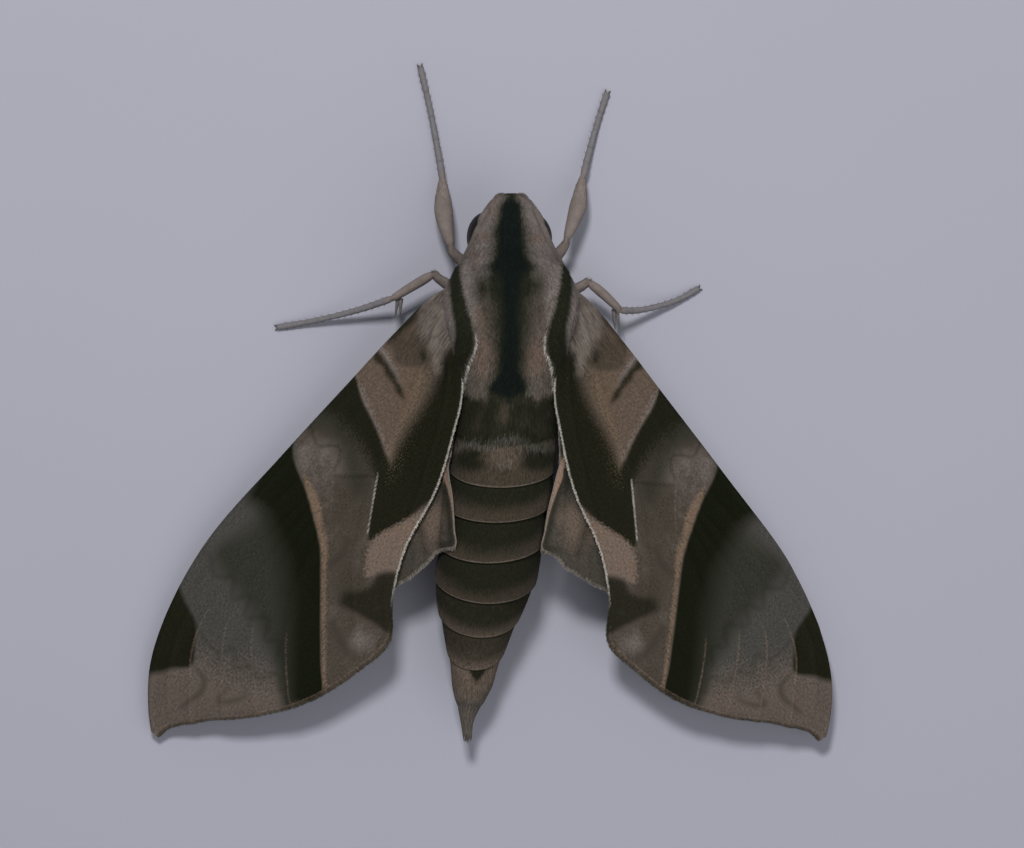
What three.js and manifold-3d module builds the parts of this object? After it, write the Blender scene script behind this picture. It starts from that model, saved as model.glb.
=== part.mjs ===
// A large hawk moth at rest with half-spread wings, life size, in millimetres.
// The moth faces +Y, its right side is +X and the floor is z = 0. Everything is built about a
// point on the floor below the middle of the thorax, and the whole group is centred at the end.
import * as THREE from 'three';
import { LoftGeometry } from 'three/addons/geometries/LoftGeometry.js';
import { mergeVertices } from 'three/addons/utils/BufferGeometryUtils.js';
import Module from 'manifold-3d';

const wasm = await Module();
wasm.setup();
const { Manifold, Mesh: SolidMesh } = wasm;

// ---- driving dimensions (mm, degrees) ----
const GAP = 0.3;                // clearance left between neighbouring parts
const RING_GAP = 0.46;          // clearance between two abdominal segments, along the body
const BODY_FACETS = 20;         // facets round the body
const WING_THICKNESS = 0.56;
const WING_CAMBER = 0.9;        // rise of the wing's middle above its chord
const HINDWING_DROP = 1.05;     // hindwing's mid-surface below the forewing's
const EYE_RADIUS = 1.88;
const EYE_CENTRE = [2.98, 7.75, 8.3];
const TAIL_START = -46.1;

// Body profiles: y, sideways centre, centre height, half width, half height.
const HEAD = [
  [5.95, 0, 8.9, 4.75, 4.15],
  [7.6, 0, 8.9, 4.15, 4.2],
  [9.2, 0, 8.6, 3.4, 3.8],
  [10.3, 0, 8.25, 2.75, 3.1],
  [10.95, 0, 7.95, 1.8, 2.15],
  [11.2, 0, 7.8, 0.95, 1.2],
];
const CHEST = [
  [5.65, 0, 9.0, 4.8, 4.5],
  [4.4, 0, 9.25, 5.2, 5.3],
  [3.0, 0, 9.5, 5.5, 5.9],
  [0.8, 0, 9.75, 5.95, 6.5],
  [-1.8, 0, 9.85, 6.25, 6.75],
  [-4.8, -0.05, 9.8, 6.05, 6.5],
  [-7.8, -0.15, 9.55, 5.75, 6.1],
  [-9.9, -0.3, 9.4, 5.6, 5.85],
];
const ABDOMEN = [
  [-9.9, -0.3, 9.4, 5.55, 5.85],
  [-15, -0.6, 9.3, 5.7, 6.0],
  [-21, -1.2, 8.9, 5.75, 6.0],
  [-27, -2.15, 8.1, 5.75, 5.7],
  [-31.5, -2.9, 7.35, 5.45, 5.1],
  [-35.5, -3.5, 6.65, 4.2, 4.0],
  [-40, -4.0, 5.85, 2.8, 2.85],
  [-42.5, -4.27, 5.45, 2.24, 2.3],
  [-43.6, -4.43, 5.25, 1.84, 1.9],
  [-44.4, -4.53, 5.15, 1.46, 1.5],
  [-45.1, -4.67, 5.05, 0.98, 1.02],
  [-46.4, -4.84, 4.85, 0.62, 0.64],
  [-48.3, -4.82, 4.6, 0.4, 0.4],
];
// Rear edge of each abdominal segment at the height of the body's axis.
const RING_Y = [-14.2, -18.6, -22.2, -26.3, -30.6, -34.8, -39.0];
// Lean of the body's cross-sections: y, degrees back at the top, and turn towards the left.
const LEAN = [
  [11.2, 0, 0],
  [5.7, 0, 0],
  [3.0, 4, 0],
  [-9.9, 10, 0],
  [-14.2, 15, 0],
  [-18.6, 18, 0],
  [-22.2, 20, 0],
  [-26.3, 24, 0],
  [-30.6, 29, 0.09],
  [-34.8, 31, 0.09],
  [-39.0, 31, 0.04],
  [-44.7, 0, 0],
  [-48.3, 0, 0],
];
const RING_FLARE = 0.34;        // a segment's rear edge stands this far over its front edge

// Forewing, measured along and across an axis from the wing's root to its apex.
const COSTA = [[0, 3.4], [6, 4.6], [12, 5.4], [24, 6.9], [37, 8.15], [46, 7.1], [52, 5.1], [56, 2.4], [57.6, 0.9]];
const HIND_EDGE = [
  [0, -1], [3.3, 2.1], [6.1, 4.8], [11.6, 7.3], [17, 9.1], [24.5, 10.2], [29.8, 12.3],
  [33.6, 14.6], [38, 13.8], [44.1, 11.4], [48.6, 8], [53.3, 2.9], [56, 0.45], [57.6, 0],
];
const COSTA_HEIGHT = [[0, 8.5], [6, 6.7], [12, 5.2], [22, 3.7], [36, 2.7], [50, 1.8], [57.6, 1.25]];
const HIND_HEIGHT = [[0, 12.2], [4, 13.1], [8, 12.7], [17, 10.9], [26, 9.3], [34, 7.5], [44, 5.9], [52, 3.7], [57.6, 1.3]];
// Hindwing in the same axes; its inner lobe, of its own outline on each side, rides up over the abdomen.
const HINDWING_FRONT = [[4.5, 0.0], [12, -0.6], [25, -0.2], [34, 1.6], [39, 3.9]];
const HINDWING_ROOT = [[4.5, 2.0], [9, 5.3], [12.5, 7.2]];
const HINDWING_TIP = [[28.2, 11.8], [34, 9.4], [39, 5.3]];
const HINDWING_STATIONS = [4.5, 8, 11, 13, 14.4, 15.2, 16, 16.8, 17.8, 19, 20, 20.9, 21.7, 23, 25, 28, 31.5, 35, 39];
const LOBE_REACH = 1.2;         // least width of the lobe that may be lifted
const LOBE_FROM = 15;           // place along the wing where the lobe leaves the forewing's cover
const LOBE_CLEARANCE = 0.8;     // hindwing's mid-surface above the abdomen below the lobe
const SIDES = {
  left: {
    sign: -1, root: [5.5, -1.5], angle: 35.84, reach: 57.84, costaDepth: 1, hindDepth: 1, lift: 0,
    lobe: [
      [14.4, 7.8], [15.2, 8.3], [16, 9.15], [16.8, 10.2], [17.8, 11.7], [19, 13.05],
      [20.9, 14.6], [22.2, 13.4], [23.7, 13.1], [25.4, 12.8],
    ],
  },
  right: {
    sign: 1, root: [5.5, -1.5], angle: 31.38, reach: 55.27, costaDepth: 0.89, hindDepth: 0.975, lift: 1.7,
    lobe: [
      [14.1, 8.5], [15.2, 10], [16.3, 11.3], [17.7, 12.7], [19.3, 14],
      [20.9, 15.3], [22.1, 14.3], [23.7, 14.05], [25.3, 13.4],
    ],
  },
};

// ---- colours ----
const FINISH = {
  coat: [0x6d5f57, 0.92],
  collar: [0x78695f, 0.92],
  chest: [0x5d5148, 0.92],
  shoulder: [0x3b3a2c, 0.92],
  belly: [0x3a352a, 0.9],
  ring: [0x4a3f34, 0.9],
  tuft: [0x77675b, 0.9],
  wing: [0x544a3c, 0.88],
  underwing: [0x82705f, 0.88],
  eye: [0x17191a, 0.12],
  limb: [0x8d8078, 0.8],
  foot: [0x7b7878, 0.75],
  feeler: [0x9a8b7c, 0.8],
  tongue: [0x5a3b25, 0.5],
};

// ---- helpers ----
const rad = THREE.MathUtils.degToRad;

/** Smooth interpolation through rows of [position, value, value ...]. */
function profile(rows) {
  const sorted = [...rows].sort((a, b) => a[0] - b[0]);
  const width = sorted[0].length - 1;
  const spline = new THREE.CubicInterpolant(
    sorted.map((row) => row[0]), sorted.flatMap((row) => row.slice(1)), width,
  );
  const first = sorted[0][0];
  const last = sorted[sorted.length - 1][0];
  return (t) => Array.from(spline.evaluate(THREE.MathUtils.clamp(t, first, last)));
}

/** Evenly spaced values from a to b, both ends included. */
function steps(a, b, count) {
  return Array.from({ length: count + 1 }, (_, i) => a + (b - a) * (i / count));
}

/** Closed loft through rings of points; rings turn anticlockwise seen from the far end. */
function loft(rings) {
  return new LoftGeometry(rings, { closed: true, capStart: true, capEnd: true });
}

/** Triangle mesh to a solid for joining and cutting. */
function solid(geometry) {
  const bare = new THREE.BufferGeometry().copy(geometry);
  bare.deleteAttribute('normal');
  bare.deleteAttribute('uv');
  const merged = mergeVertices(bare, 1e-4);
  const mesh = new SolidMesh({
    numProp: 3,
    vertProperties: new Float32Array(merged.attributes.position.array),
    triVerts: new Uint32Array(merged.index.array),
  });
  return new Manifold(mesh);
}

/** Solid back to a three.js geometry. */
function geometryOf(shape) {
  const mesh = shape.getMesh();
  const geometry = new THREE.BufferGeometry();
  geometry.setAttribute('position', new THREE.BufferAttribute(new Float32Array(mesh.vertProperties), 3));
  geometry.setIndex(new THREE.BufferAttribute(new Uint32Array(mesh.triVerts), 1));
  geometry.computeVertexNormals();
  return geometry;
}

/** One named mesh with its own material, placed at the middle of its shape. */
function part(name, geometry, finish) {
  const [colour, roughness] = FINISH[finish];
  geometry.computeBoundingBox();
  const middle = geometry.boundingBox.getCenter(new THREE.Vector3());
  geometry.translate(-middle.x, -middle.y, -middle.z);
  const material = new THREE.MeshStandardMaterial({ color: colour, roughness, metalness: 0 });
  const mesh = new THREE.Mesh(geometry, material);
  mesh.name = name;
  mesh.position.copy(middle);
  return mesh;
}

/** Ring of the body's cross-section at y, leaning and turned with the body. */
function bodyRing(shape, y, grow = 0) {
  const [lean, turn] = bodyLean(y);
  return Array.from({ length: BODY_FACETS }, (_, i) => {
    const angle = (i / BODY_FACETS) * 2 * Math.PI;
    const height = Math.sin(angle);
    const [, , broad, tall] = shape(y);
    const station = y - lean * tall * height - turn * broad * Math.cos(angle);
    const [x, z, wide, high] = shape(station);
    return new THREE.Vector3(x + (wide + grow) * Math.cos(angle), station, z + (high + grow) * height);
  });
}

/** Length of body between two stations, front to back. */
function bodyPiece(shape, front, back, count, flare = 0) {
  return loft(steps(0, 1, count).map((t) => bodyRing(shape, front + (back - front) * t, flare * (t - 0.5))));
}

/** Tapered limb through points [x, y, z, radius]; flat squeezes it across its second axis. */
function limb(points, { facets = 8, count = 8, flat = 1 } = {}) {
  const curve = new THREE.CatmullRomCurve3(points.map((p) => new THREE.Vector3(p[0], p[1], p[2])), false, 'centripetal');
  const radius = profile(points.map((p, i) => [i / (points.length - 1), p[3]]));
  const frames = curve.computeFrenetFrames(count, false);
  const rings = steps(0, 1, count).map((t, k) => {
    const centre = curve.getPointAt(t);
    const size = radius(curve.getUtoTmapping(t))[0];
    return Array.from({ length: facets }, (_, i) => {
      const angle = (i / facets) * 2 * Math.PI;
      return centre.clone()
        .addScaledVector(frames.normals[k], size * Math.cos(angle))
        .addScaledVector(frames.binormals[k], size * flat * Math.sin(angle));
    });
  });
  return loft(rings);
}

/** Cut a shape off level at the floor, so that it stands on a small flat. */
function standOnFloor(geometry) {
  const ground = new THREE.BoxGeometry(200, 200, 10);
  ground.translate(0, 0, -5);
  return geometryOf(solid(geometry).subtract(solid(ground)));
}

// ---- body ----
const headShape = profile(HEAD);
const chestShape = profile(CHEST);
const abdomenShape = profile(ABDOMEN);
const bodyLean = profile(LEAN.map(([y, degrees, turn]) => [y, Math.tan(rad(degrees)), turn]));

const moth = new THREE.Group();
moth.name = 'hawk_moth';
const body = new THREE.Group();
body.name = 'body';
moth.add(body);

/** Compound eye, its pole turned outwards; grown to hollow its socket. */
function eyeBall(sign, grow = 0) {
  const [x, y, z] = EYE_CENTRE;
  const ball = new THREE.SphereGeometry(EYE_RADIUS + grow, grow ? 11 : 15, grow ? 7 : 10);
  ball.rotateZ(Math.PI / 2);
  ball.translate(x * sign, y, z);
  return ball;
}

/** Palp: a stout curved pod in front of the face. */
function palp(sign, grow = 0) {
  const line = [
    [1.25, 8.9, 4.8, 0.7],
    [1.22, 10.0, 5.6, 0.98],
    [1.18, 10.65, 7.0, 1.0],
    [1.1, 10.85, 8.6, 0.92],
    [1.0, 10.8, 9.75, 0.74],
  ].map(([x, y, z, r]) => [x * sign, y, z, r + grow]);
  return limb(line, grow ? { facets: 6, count: 5 } : { facets: 8, count: 7 });
}

// Antennae run back over the eyes in a groove of the coat, then under the wing roots.
const ANTENNA = [
  [2.85, 9.45, 10.55, 0.34],
  [3.8, 7.7, 10.85, 0.42],
  [4.45, 6.3, 10.15, 0.44],
  [4.95, 5.0, 8.95, 0.45],
  [5.5, 3.6, 7.6, 0.47],
  [6.15, 1.8, 6.7, 0.48],
  [6.8, -1.0, 6.2, 0.5],
  [7.2, -5.0, 5.85, 0.48],
  [7.15, -9.5, 5.65, 0.4],
  [6.95, -12.6, 5.2, 0.27],
  [6.8, -13.3, 4.5, 0.25],
];

/** Feeler of one side; grown to hollow its groove. */
function antenna(sign, grow = 0, shape = { facets: 7, count: 16 }) {
  const track = ANTENNA.map(([x, y, z, r]) => [x * sign, y, z, r + grow]);
  return limb(track, shape);
}

/** The body's coat parts with the grooves of both antennae cut out. */
function grooved(shape) {
  const tool = { facets: 5, count: 11 };
  const cut = [-1, 1].reduce((left, sign) => left.subtract(solid(antenna(sign, GAP + 0.05, tool))), shape);
  return geometryOf(cut.decompose().sort((a, b) => b.volume() - a.volume())[0]);
}

let head = solid(bodyPiece(headShape, 11.2, 5.95, 8));
for (const sign of [-1, 1]) {
  head = head.subtract(solid(eyeBall(sign, GAP))).subtract(solid(palp(sign, GAP + 0.08)));
}
body.add(part('head', grooved(head), 'coat'));
for (const [side, { sign }] of Object.entries(SIDES)) {
  body.add(part(`eye_${side}`, eyeBall(sign), 'eye'));
  body.add(part(`palp_${side}`, palp(sign), 'coat'));
}

// Proboscis coiled flat below the head, between the palps and the forelegs.
const tongue = new THREE.TorusGeometry(0.62, 0.3, 6, 14);
tongue.rotateY(Math.PI / 2);
tongue.translate(0, 8.3, 3.6);
body.add(part('proboscis', tongue, 'tongue'));

body.add(part('collar', grooved(solid(bodyPiece(chestShape, 5.65, 3.2, 3))), 'collar'));
const chestCore = bodyPiece(chestShape, 2.9, -9.9, 7);
body.add(part('thorax', chestCore, 'chest'));

// Abdomen: seven telescoping segments and the tail tuft.
RING_Y.forEach((rear, i) => {
  const front = (i === 0 ? -9.9 : RING_Y[i - 1]) - RING_GAP;
  const flare = i < 2 ? 0.1 : RING_FLARE * Math.min(1, abdomenShape(rear)[2] / 5);
  body.add(part(`abdomen_${i + 1}`, bodyPiece(abdomenShape, front, rear, 3, flare), i < 2 ? 'belly' : 'ring'));
});
const tailFront = RING_Y[RING_Y.length - 1] - RING_GAP;
body.add(part('abdomen_8', bodyPiece(abdomenShape, tailFront, TAIL_START + 1.4, 3), 'ring'));
body.add(part('tail_tuft', bodyPiece(abdomenShape, TAIL_START + 1.1, -48.3, 3), 'tuft'));

// ---- wings ----
const costa = profile(COSTA);
const hindEdge = profile(HIND_EDGE);
const costaHeight = profile(COSTA_HEIGHT);
const hindHeight = profile(HIND_HEIGHT);
const hindwingFront = profile(HINDWING_FRONT);
const PLAN_REACH = 57.84;
const TIP_FROM = 30;            // wings of unequal reach differ only beyond this point

/** Frame of one wing: maps (along, across) to the floor plan. */
function wingFrame({ sign, root, angle, reach }) {
  const axis = new THREE.Vector2(-Math.sin(rad(angle)), -Math.cos(rad(angle)));
  const across = new THREE.Vector2(-axis.y, axis.x);
  const tipScale = (reach - TIP_FROM) / (PLAN_REACH - TIP_FROM);
  return (along, offset) => {
    const run = along <= TIP_FROM ? along : TIP_FROM + (along - TIP_FROM) * tipScale;
    const x = -root[0] + axis.x * run + across.x * offset;
    const y = root[1] + axis.y * run + across.y * offset;
    return [x * -sign, y];
  };
}

/** Height of the forewing's mid-surface at (along, across); it may be asked past the edges. */
function wingHeight(side, along, offset) {
  const front = -costa(along)[0] * side.costaDepth;
  const back = hindEdge(along)[0] * side.hindDepth;
  const v = (offset - front) / (back - front);
  const bow = Math.sin(Math.PI * THREE.MathUtils.clamp(v, 0, 1));
  const taper = Math.min(1, (back - front) / 12);
  const low = costaHeight(along)[0] + side.lift * THREE.MathUtils.smoothstep(along, 20, 57);
  const high = hindHeight(along)[0] + side.lift * THREE.MathUtils.smoothstep(along, 40, 57);
  return low + (high - low) * Math.min(v, 1.25) + WING_CAMBER * bow * taper;
}

/** Thin cambered wing between two edges, as a closed slab. */
function wingSlab(side, edges, from, to, count, chords, drop, thickness) {
  const place = wingFrame(side);
  const rings = steps(from, to, count).map((along) => {
    const [front, back] = edges(along);
    const row = (lift) => steps(front, back, chords).map((offset) => {
      const [x, y] = place(along, offset);
      return new THREE.Vector3(x, y, wingHeight(side, along, offset) - drop + lift);
    });
    const top = row(thickness / 2);
    const under = row(-thickness / 2).reverse();
    const ring = [...top, ...under];
    return side.sign > 0 ? ring : ring.reverse();
  });
  return loft(rings);
}

/** Forewing; grown all round, and deepened downwards, where room is cut for it. */
function forewing(side, grow = 0, depth = 0) {
  const edges = (along) => [
    -costa(along)[0] * side.costaDepth - grow,
    hindEdge(along)[0] * side.hindDepth + grow,
  ];
  const thickness = WING_THICKNESS + 2 * grow + depth;
  return wingSlab(side, edges, -grow, PLAN_REACH - 0.24, 29, 5, depth / 2, thickness);
}

/** Height that clears the abdomen at a spot of the floor plan; zero beside it. */
function overAbdomen({ x, y }) {
  const [middle, z, wide, high] = abdomenShape(y);
  const aside = Math.abs(x - middle) / (wide + LOBE_CLEARANCE);
  return aside < 1 ? z + (high + LOBE_CLEARANCE) * Math.sqrt(1 - aside * aside) : 0;
}

/** Hindwing: a thin slab below the forewing, its inner lobe lifted over the abdomen's side. */
function hindwing(side) {
  const place = wingFrame(side);
  const hindwingBack = profile([...HINDWING_ROOT, ...side.lobe, ...HINDWING_TIP]);
  const rings = HINDWING_STATIONS.map((along) => {
    const front = hindwingFront(along)[0];
    const back = hindwingBack(along)[0];
    const knee = Math.min(hindEdge(along)[0] * side.hindDepth, back - LOBE_REACH);
    const middle = [front, (front + knee) / 2, ...steps(knee, back, 3)].map((offset) => {
      const [x, y] = place(along, offset);
      const spot = new THREE.Vector3(x, y, wingHeight(side, along, offset) - HINDWING_DROP);
      return spot.setZ(Math.max(spot.z, along > LOBE_FROM ? overAbdomen(spot) : 0));
    });
    // Thickness is measured upright in the flat part and square to the surface in the lifted lobe.
    const row = (lift) => middle.map((point, i) => {
      if (along < LOBE_FROM || point.z > overAbdomen(point)) return point.clone().setZ(point.z + lift);
      const way = middle[Math.min(i + 1, middle.length - 1)].clone().sub(middle[i - 1]).normalize();
      const flat = Math.hypot(way.x, way.y);
      const square = new THREE.Vector3((-way.x * way.z) / flat, (-way.y * way.z) / flat, flat);
      return point.clone().addScaledVector(square, lift);
    });
    const ring = [...row(WING_THICKNESS / 2), ...row(-WING_THICKNESS / 2).reverse()];
    return side.sign > 0 ? ring : ring.reverse();
  });
  return loft(rings);
}

const wings = new THREE.Group();
wings.name = 'wings';
moth.add(wings);
for (const [name, side] of Object.entries(SIDES)) {
  wings.add(part(`forewing_${name}`, forewing(side), 'wing'));
  wings.add(part(`hindwing_${name}`, hindwing(side), 'underwing'));
}

// ---- tegulae: the shoulder covers, curved plates over the wing roots ----
// Rows are y, lower and upper edge as degrees round the thorax from its side, and thickness.
const TEGULA = [
  [4.3, 12, 24, 0.5],
  [3.0, 2, 32, 0.9],
  [0.8, 0, 42, 1.5],
  [-1.8, 6, 56, 1.6],
  [-4.0, 20, 63, 1.4],
  [-5.8, 34, 60, 1.0],
  [-6.9, 42, 54, 0.5],
];
const tegulaShape = profile(TEGULA);

/** Plate wrapped round the thorax, thickest along its middle. */
function tegulaPlate(sign) {
  const rings = steps(4.3, -6.9, 10).map((y) => {
    const [lower, upper, thickness] = tegulaShape(y);
    const [x, z, wide, high] = chestShape(y);
    const arc = (lift) => steps(0, 1, 5).map((t) => {
      const angle = rad(lower + (upper - lower) * t);
      const out = GAP + 0.05 + lift * (0.3 + 0.7 * Math.sin(Math.PI * t)) * thickness;
      return new THREE.Vector3(
        (x * sign + (wide + out) * Math.cos(angle)) * sign, y, z + (high + out) * Math.sin(angle),
      );
    });
    const ring = [...arc(1), ...arc(0).reverse()];
    return sign > 0 ? ring : ring.reverse();
  });
  return loft(rings);
}

for (const [name, side] of Object.entries(SIDES)) {
  const above = solid(tegulaPlate(side.sign)).subtract(solid(forewing(side, GAP, 5)));
  const largest = above.decompose().sort((a, b) => b.volume() - a.volume())[0];
  wings.add(part(`tegula_${name}`, geometryOf(largest), 'shoulder'));
}

// ---- antennae ----
const feelers = new THREE.Group();
feelers.name = 'feelers';
moth.add(feelers);
for (const [name, { sign }] of Object.entries(SIDES)) {
  feelers.add(part(`antenna_${name}`, antenna(sign), 'feeler'));
}

// ---- legs: points are x, y, z, radius ----
const LEGS = {
  foreleg_left: {
    femur: [[-2.2, 3.4, 2.8, 0.7], [-4.6, 4.0, 3.2, 0.8], [-6.4, 5.3, 4.5, 0.6]],
    tibia: [[-6.6, 5.9, 4.7, 0.5], [-7.2, 8.3, 3.9, 0.92], [-7.5, 10.4, 3.0, 1.08], [-7.6, 13.2, 1.9, 0.55]],
    tarsus: [[-7.6, 13.6, 1.75, 0.46], [-8.1, 16.6, 1.0, 0.42], [-9.0, 21.4, 0.5, 0.38], [-10.1, 26.2, 0.26, 0.42]],
    spurs: [],
  },
  foreleg_right: {
    femur: [[2.2, 3.4, 2.9, 0.7], [4.4, 4.4, 3.3, 0.8], [5.9, 6.1, 4.5, 0.6]],
    tibia: [[6.1, 6.7, 4.7, 0.5], [6.9, 8.9, 3.9, 0.85], [7.5, 10.9, 3.0, 1.0], [7.9, 13.5, 1.9, 0.5]],
    tarsus: [[8.0, 13.9, 1.75, 0.46], [8.6, 16.3, 1.0, 0.42], [9.6, 19.9, 0.5, 0.38], [10.7, 23.3, 0.26, 0.42]],
    spurs: [],
  },
  midleg_left: {
    femur: [[-2.5, -1.2, 2.6, 0.75], [-5.4, 0.8, 3.2, 0.85], [-7.9, 2.4, 4.6, 0.6]],
    tibia: [[-8.5, 2.9, 4.9, 0.55], [-10.2, 2.0, 4.9, 0.62], [-12.7, 0.5, 4.3, 0.5]],
    tarsus: [[-13.1, 0.3, 4.1, 0.46], [-17.2, -1.0, 2.2, 0.4], [-22.0, -2.1, 0.8, 0.36], [-26.0, -2.8, 0.25, 0.4]],
    spurs: [[-12.3, 0.3, 4.0], [-12.6, -1.9, 3.0]],
  },
  midleg_right: {
    femur: [[2.5, -1.2, 2.6, 0.75], [5.4, 0.4, 3.2, 0.85], [7.9, 1.7, 4.6, 0.6]],
    tibia: [[8.5, 2.0, 4.9, 0.55], [10.0, 0.9, 4.9, 0.62], [11.7, -0.7, 4.3, 0.5]],
    tarsus: [[12.0, -1.0, 4.1, 0.46], [14.6, -0.9, 2.1, 0.4], [18.2, 0.1, 0.7, 0.36], [20.9, 1.5, 0.25, 0.4]],
    spurs: [[11.5, -0.9, 4.0], [11.8, -3.2, 3.0]],
  },
  hindleg_left: {
    femur: [[-2.5, -5.6, 2.7, 0.8], [-5.6, -6.8, 2.9, 0.9], [-8.4, -8.2, 3.9, 0.6]],
    tibia: [[-8.9, -8.9, 3.9, 0.55], [-10.2, -12.2, 3.4, 0.62], [-11.3, -15.6, 2.6, 0.5]],
    tarsus: [[-11.45, -16.1, 2.45, 0.44], [-12.4, -19.4, 1.2, 0.4], [-13.5, -22.8, 0.5, 0.36], [-14.3, -25.6, 0.25, 0.4]],
    spurs: [[-11.1, -15.3, 2.3], [-10.5, -18.0, 1.6]],
  },
  hindleg_right: {
    femur: [[2.5, -5.6, 2.7, 0.8], [5.6, -6.8, 2.9, 0.9], [8.2, -8.4, 3.9, 0.6]],
    tibia: [[8.6, -9.1, 3.9, 0.55], [9.7, -12.4, 3.4, 0.62], [10.6, -15.9, 2.6, 0.5]],
    tarsus: [[10.75, -16.4, 2.45, 0.44], [11.6, -19.7, 1.2, 0.4], [12.5, -23.0, 0.5, 0.36], [13.2, -25.8, 0.25, 0.4]],
    spurs: [[10.4, -15.6, 2.3], [9.7, -18.2, 1.6]],
  },
};

const legs = new THREE.Group();
legs.name = 'legs';
moth.add(legs);
for (const [name, { femur, tibia, tarsus, spurs }] of Object.entries(LEGS)) {
  legs.add(part(`${name}_femur`, limb(femur, { count: 5 }), 'limb'));
  let shin = limb(tibia, { count: 7 });
  if (spurs.length) {
    const [from, to] = spurs;
    const middle = from.map((value, i) => (value + to[i]) / 2);
    const spur = limb([[...from, 0.32], [...middle, 0.3], [...to, 0.25]], { facets: 6, count: 2 });
    shin = geometryOf(solid(shin).add(solid(spur)));
  }
  legs.add(part(`${name}_tibia`, shin, 'limb'));
  legs.add(part(`${name}_tarsus`, standOnFloor(limb(tarsus, { facets: 7, count: 8 })), 'foot'));
}

// ---- centre the moth over the origin, standing on the floor ----
const extent = new THREE.Box3().setFromObject(moth);
const centre = extent.getCenter(new THREE.Vector3());
moth.position.set(-centre.x, -centre.y, 0);
moth.updateMatrixWorld(true);

const group = moth;
export default group;
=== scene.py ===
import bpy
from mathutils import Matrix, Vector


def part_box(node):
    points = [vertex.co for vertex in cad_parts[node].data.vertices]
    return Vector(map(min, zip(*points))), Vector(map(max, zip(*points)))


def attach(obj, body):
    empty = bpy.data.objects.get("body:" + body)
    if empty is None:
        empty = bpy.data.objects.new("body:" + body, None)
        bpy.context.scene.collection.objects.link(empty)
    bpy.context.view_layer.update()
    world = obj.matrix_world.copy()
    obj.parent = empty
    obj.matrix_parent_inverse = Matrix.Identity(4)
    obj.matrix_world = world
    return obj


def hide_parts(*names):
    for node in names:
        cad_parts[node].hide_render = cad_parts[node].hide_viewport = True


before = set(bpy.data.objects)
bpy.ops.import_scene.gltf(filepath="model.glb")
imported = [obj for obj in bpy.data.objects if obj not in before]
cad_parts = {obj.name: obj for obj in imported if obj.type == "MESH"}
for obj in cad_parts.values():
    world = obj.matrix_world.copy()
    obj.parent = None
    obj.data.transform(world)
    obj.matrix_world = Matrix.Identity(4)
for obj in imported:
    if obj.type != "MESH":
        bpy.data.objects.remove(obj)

"""The looks of a life-size hawk moth at rest: skin, coat of hair-scales, patterned wings, eyes and legs.

Measures are in millimetres about a point on the floor below the middle of the thorax, the moth
facing +Y, and are turned into the part's own frame by Ground.
"""

import logging
import math
from dataclasses import dataclass, field
from enum import Enum
from typing import Callable, Iterable, Sequence

import bpy
import numpy as np
from mathutils import Vector

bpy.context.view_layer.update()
LOG = logging.getLogger("hawk_moth")
MM = 0.001
UP = np.array([0.0, 0.0, 1.0])
FULL = 4.0  # depth at which a marking covers fully, whatever its grain
CURVE_STEPS = 24  # steps of a smooth curve between two of its points

Array = np.ndarray
Thing = bpy.types.Object
Mesh = bpy.types.Mesh
Link = bpy.types.NodeSocket
Material = bpy.types.Material
Spot = tuple[float, float, float]
Rows = tuple[tuple[float, ...], ...]


# ---------------- placing and measuring


@dataclass(frozen=True)
class Ground:
    """The part's frame: where the floor point below the thorax lies in it."""

    shift: Array

    COLLAR_AHEAD = 5.65  # mm from the point to the collar's front edge

    @classmethod
    def below_thorax(cls) -> "Ground":
        """Find the point from the collar, whose front edge lies ahead of it."""
        low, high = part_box("collar")
        return cls(np.array([(low[0] + high[0]) / 2, high[1] - cls.COLLAR_AHEAD * MM, 0.0]))

    def place(self, points: Array) -> Array:
        """Millimetres about the floor point to metres in the part's frame."""
        return np.asarray(points, float) * MM + self.shift


GROUND = Ground.below_thorax()


class Profile:
    """Smooth curve through rows of (position, value, value ...), held level past its ends."""

    def __init__(self, rows: Sequence[Sequence[float]]) -> None:
        table = np.array(sorted(rows, key=lambda row: row[0]), float)
        self.at, self.values = table[:, 0], table[:, 1:]
        slope = np.diff(self.values, axis=0) / np.diff(self.at)[:, None]
        inner = (slope[1:] + slope[:-1]) / 2
        self.slopes = np.concatenate([slope[:1], inner, slope[-1:]])

    def __call__(self, where: Array) -> Array:
        """Values at the given positions.

        Args:
            where: positions of any shape.
        Returns:
            One value for each, with a last axis where the rows hold several.
        """
        t = np.clip(np.asarray(where, float), self.at[0], self.at[-1])
        k = np.clip(np.searchsorted(self.at, t) - 1, 0, len(self.at) - 2)
        step = self.at[k + 1] - self.at[k]
        u = ((t - self.at[k]) / step)[..., None]
        step = step[..., None]
        a, b = self.values[k], self.values[k + 1]
        out = (
            (1 + 2 * u) * (1 - u) ** 2 * a
            + u * (1 - u) ** 2 * step * self.slopes[k]
            + u * u * (3 - 2 * u) * b
            + u * u * (u - 1) * step * self.slopes[k + 1]
        )
        return out[..., 0] if out.shape[-1] == 1 else out


def ease(value: Array, low: float, high: float) -> Array:
    """Smooth step from 0 at low to 1 at high."""
    t = np.clip((np.asarray(value, float) - low) / (high - low), 0, 1)
    return t * t * (3 - 2 * t)


def unit(way: Array) -> Array:
    """Directions at unit length."""
    return way / np.maximum(np.linalg.norm(way, axis=-1, keepdims=True), 1e-9)


def held(depth: Array) -> Array:
    """A marking's depth, held where it no longer changes the colour."""
    return np.clip(depth, -FULL, FULL)


def deepest(forms: Iterable["Patch | Stroke"], points: Array) -> Array:
    """Depth inside the nearest of several markings."""
    return np.max([form.field(points) for form in forms], axis=0)


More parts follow.
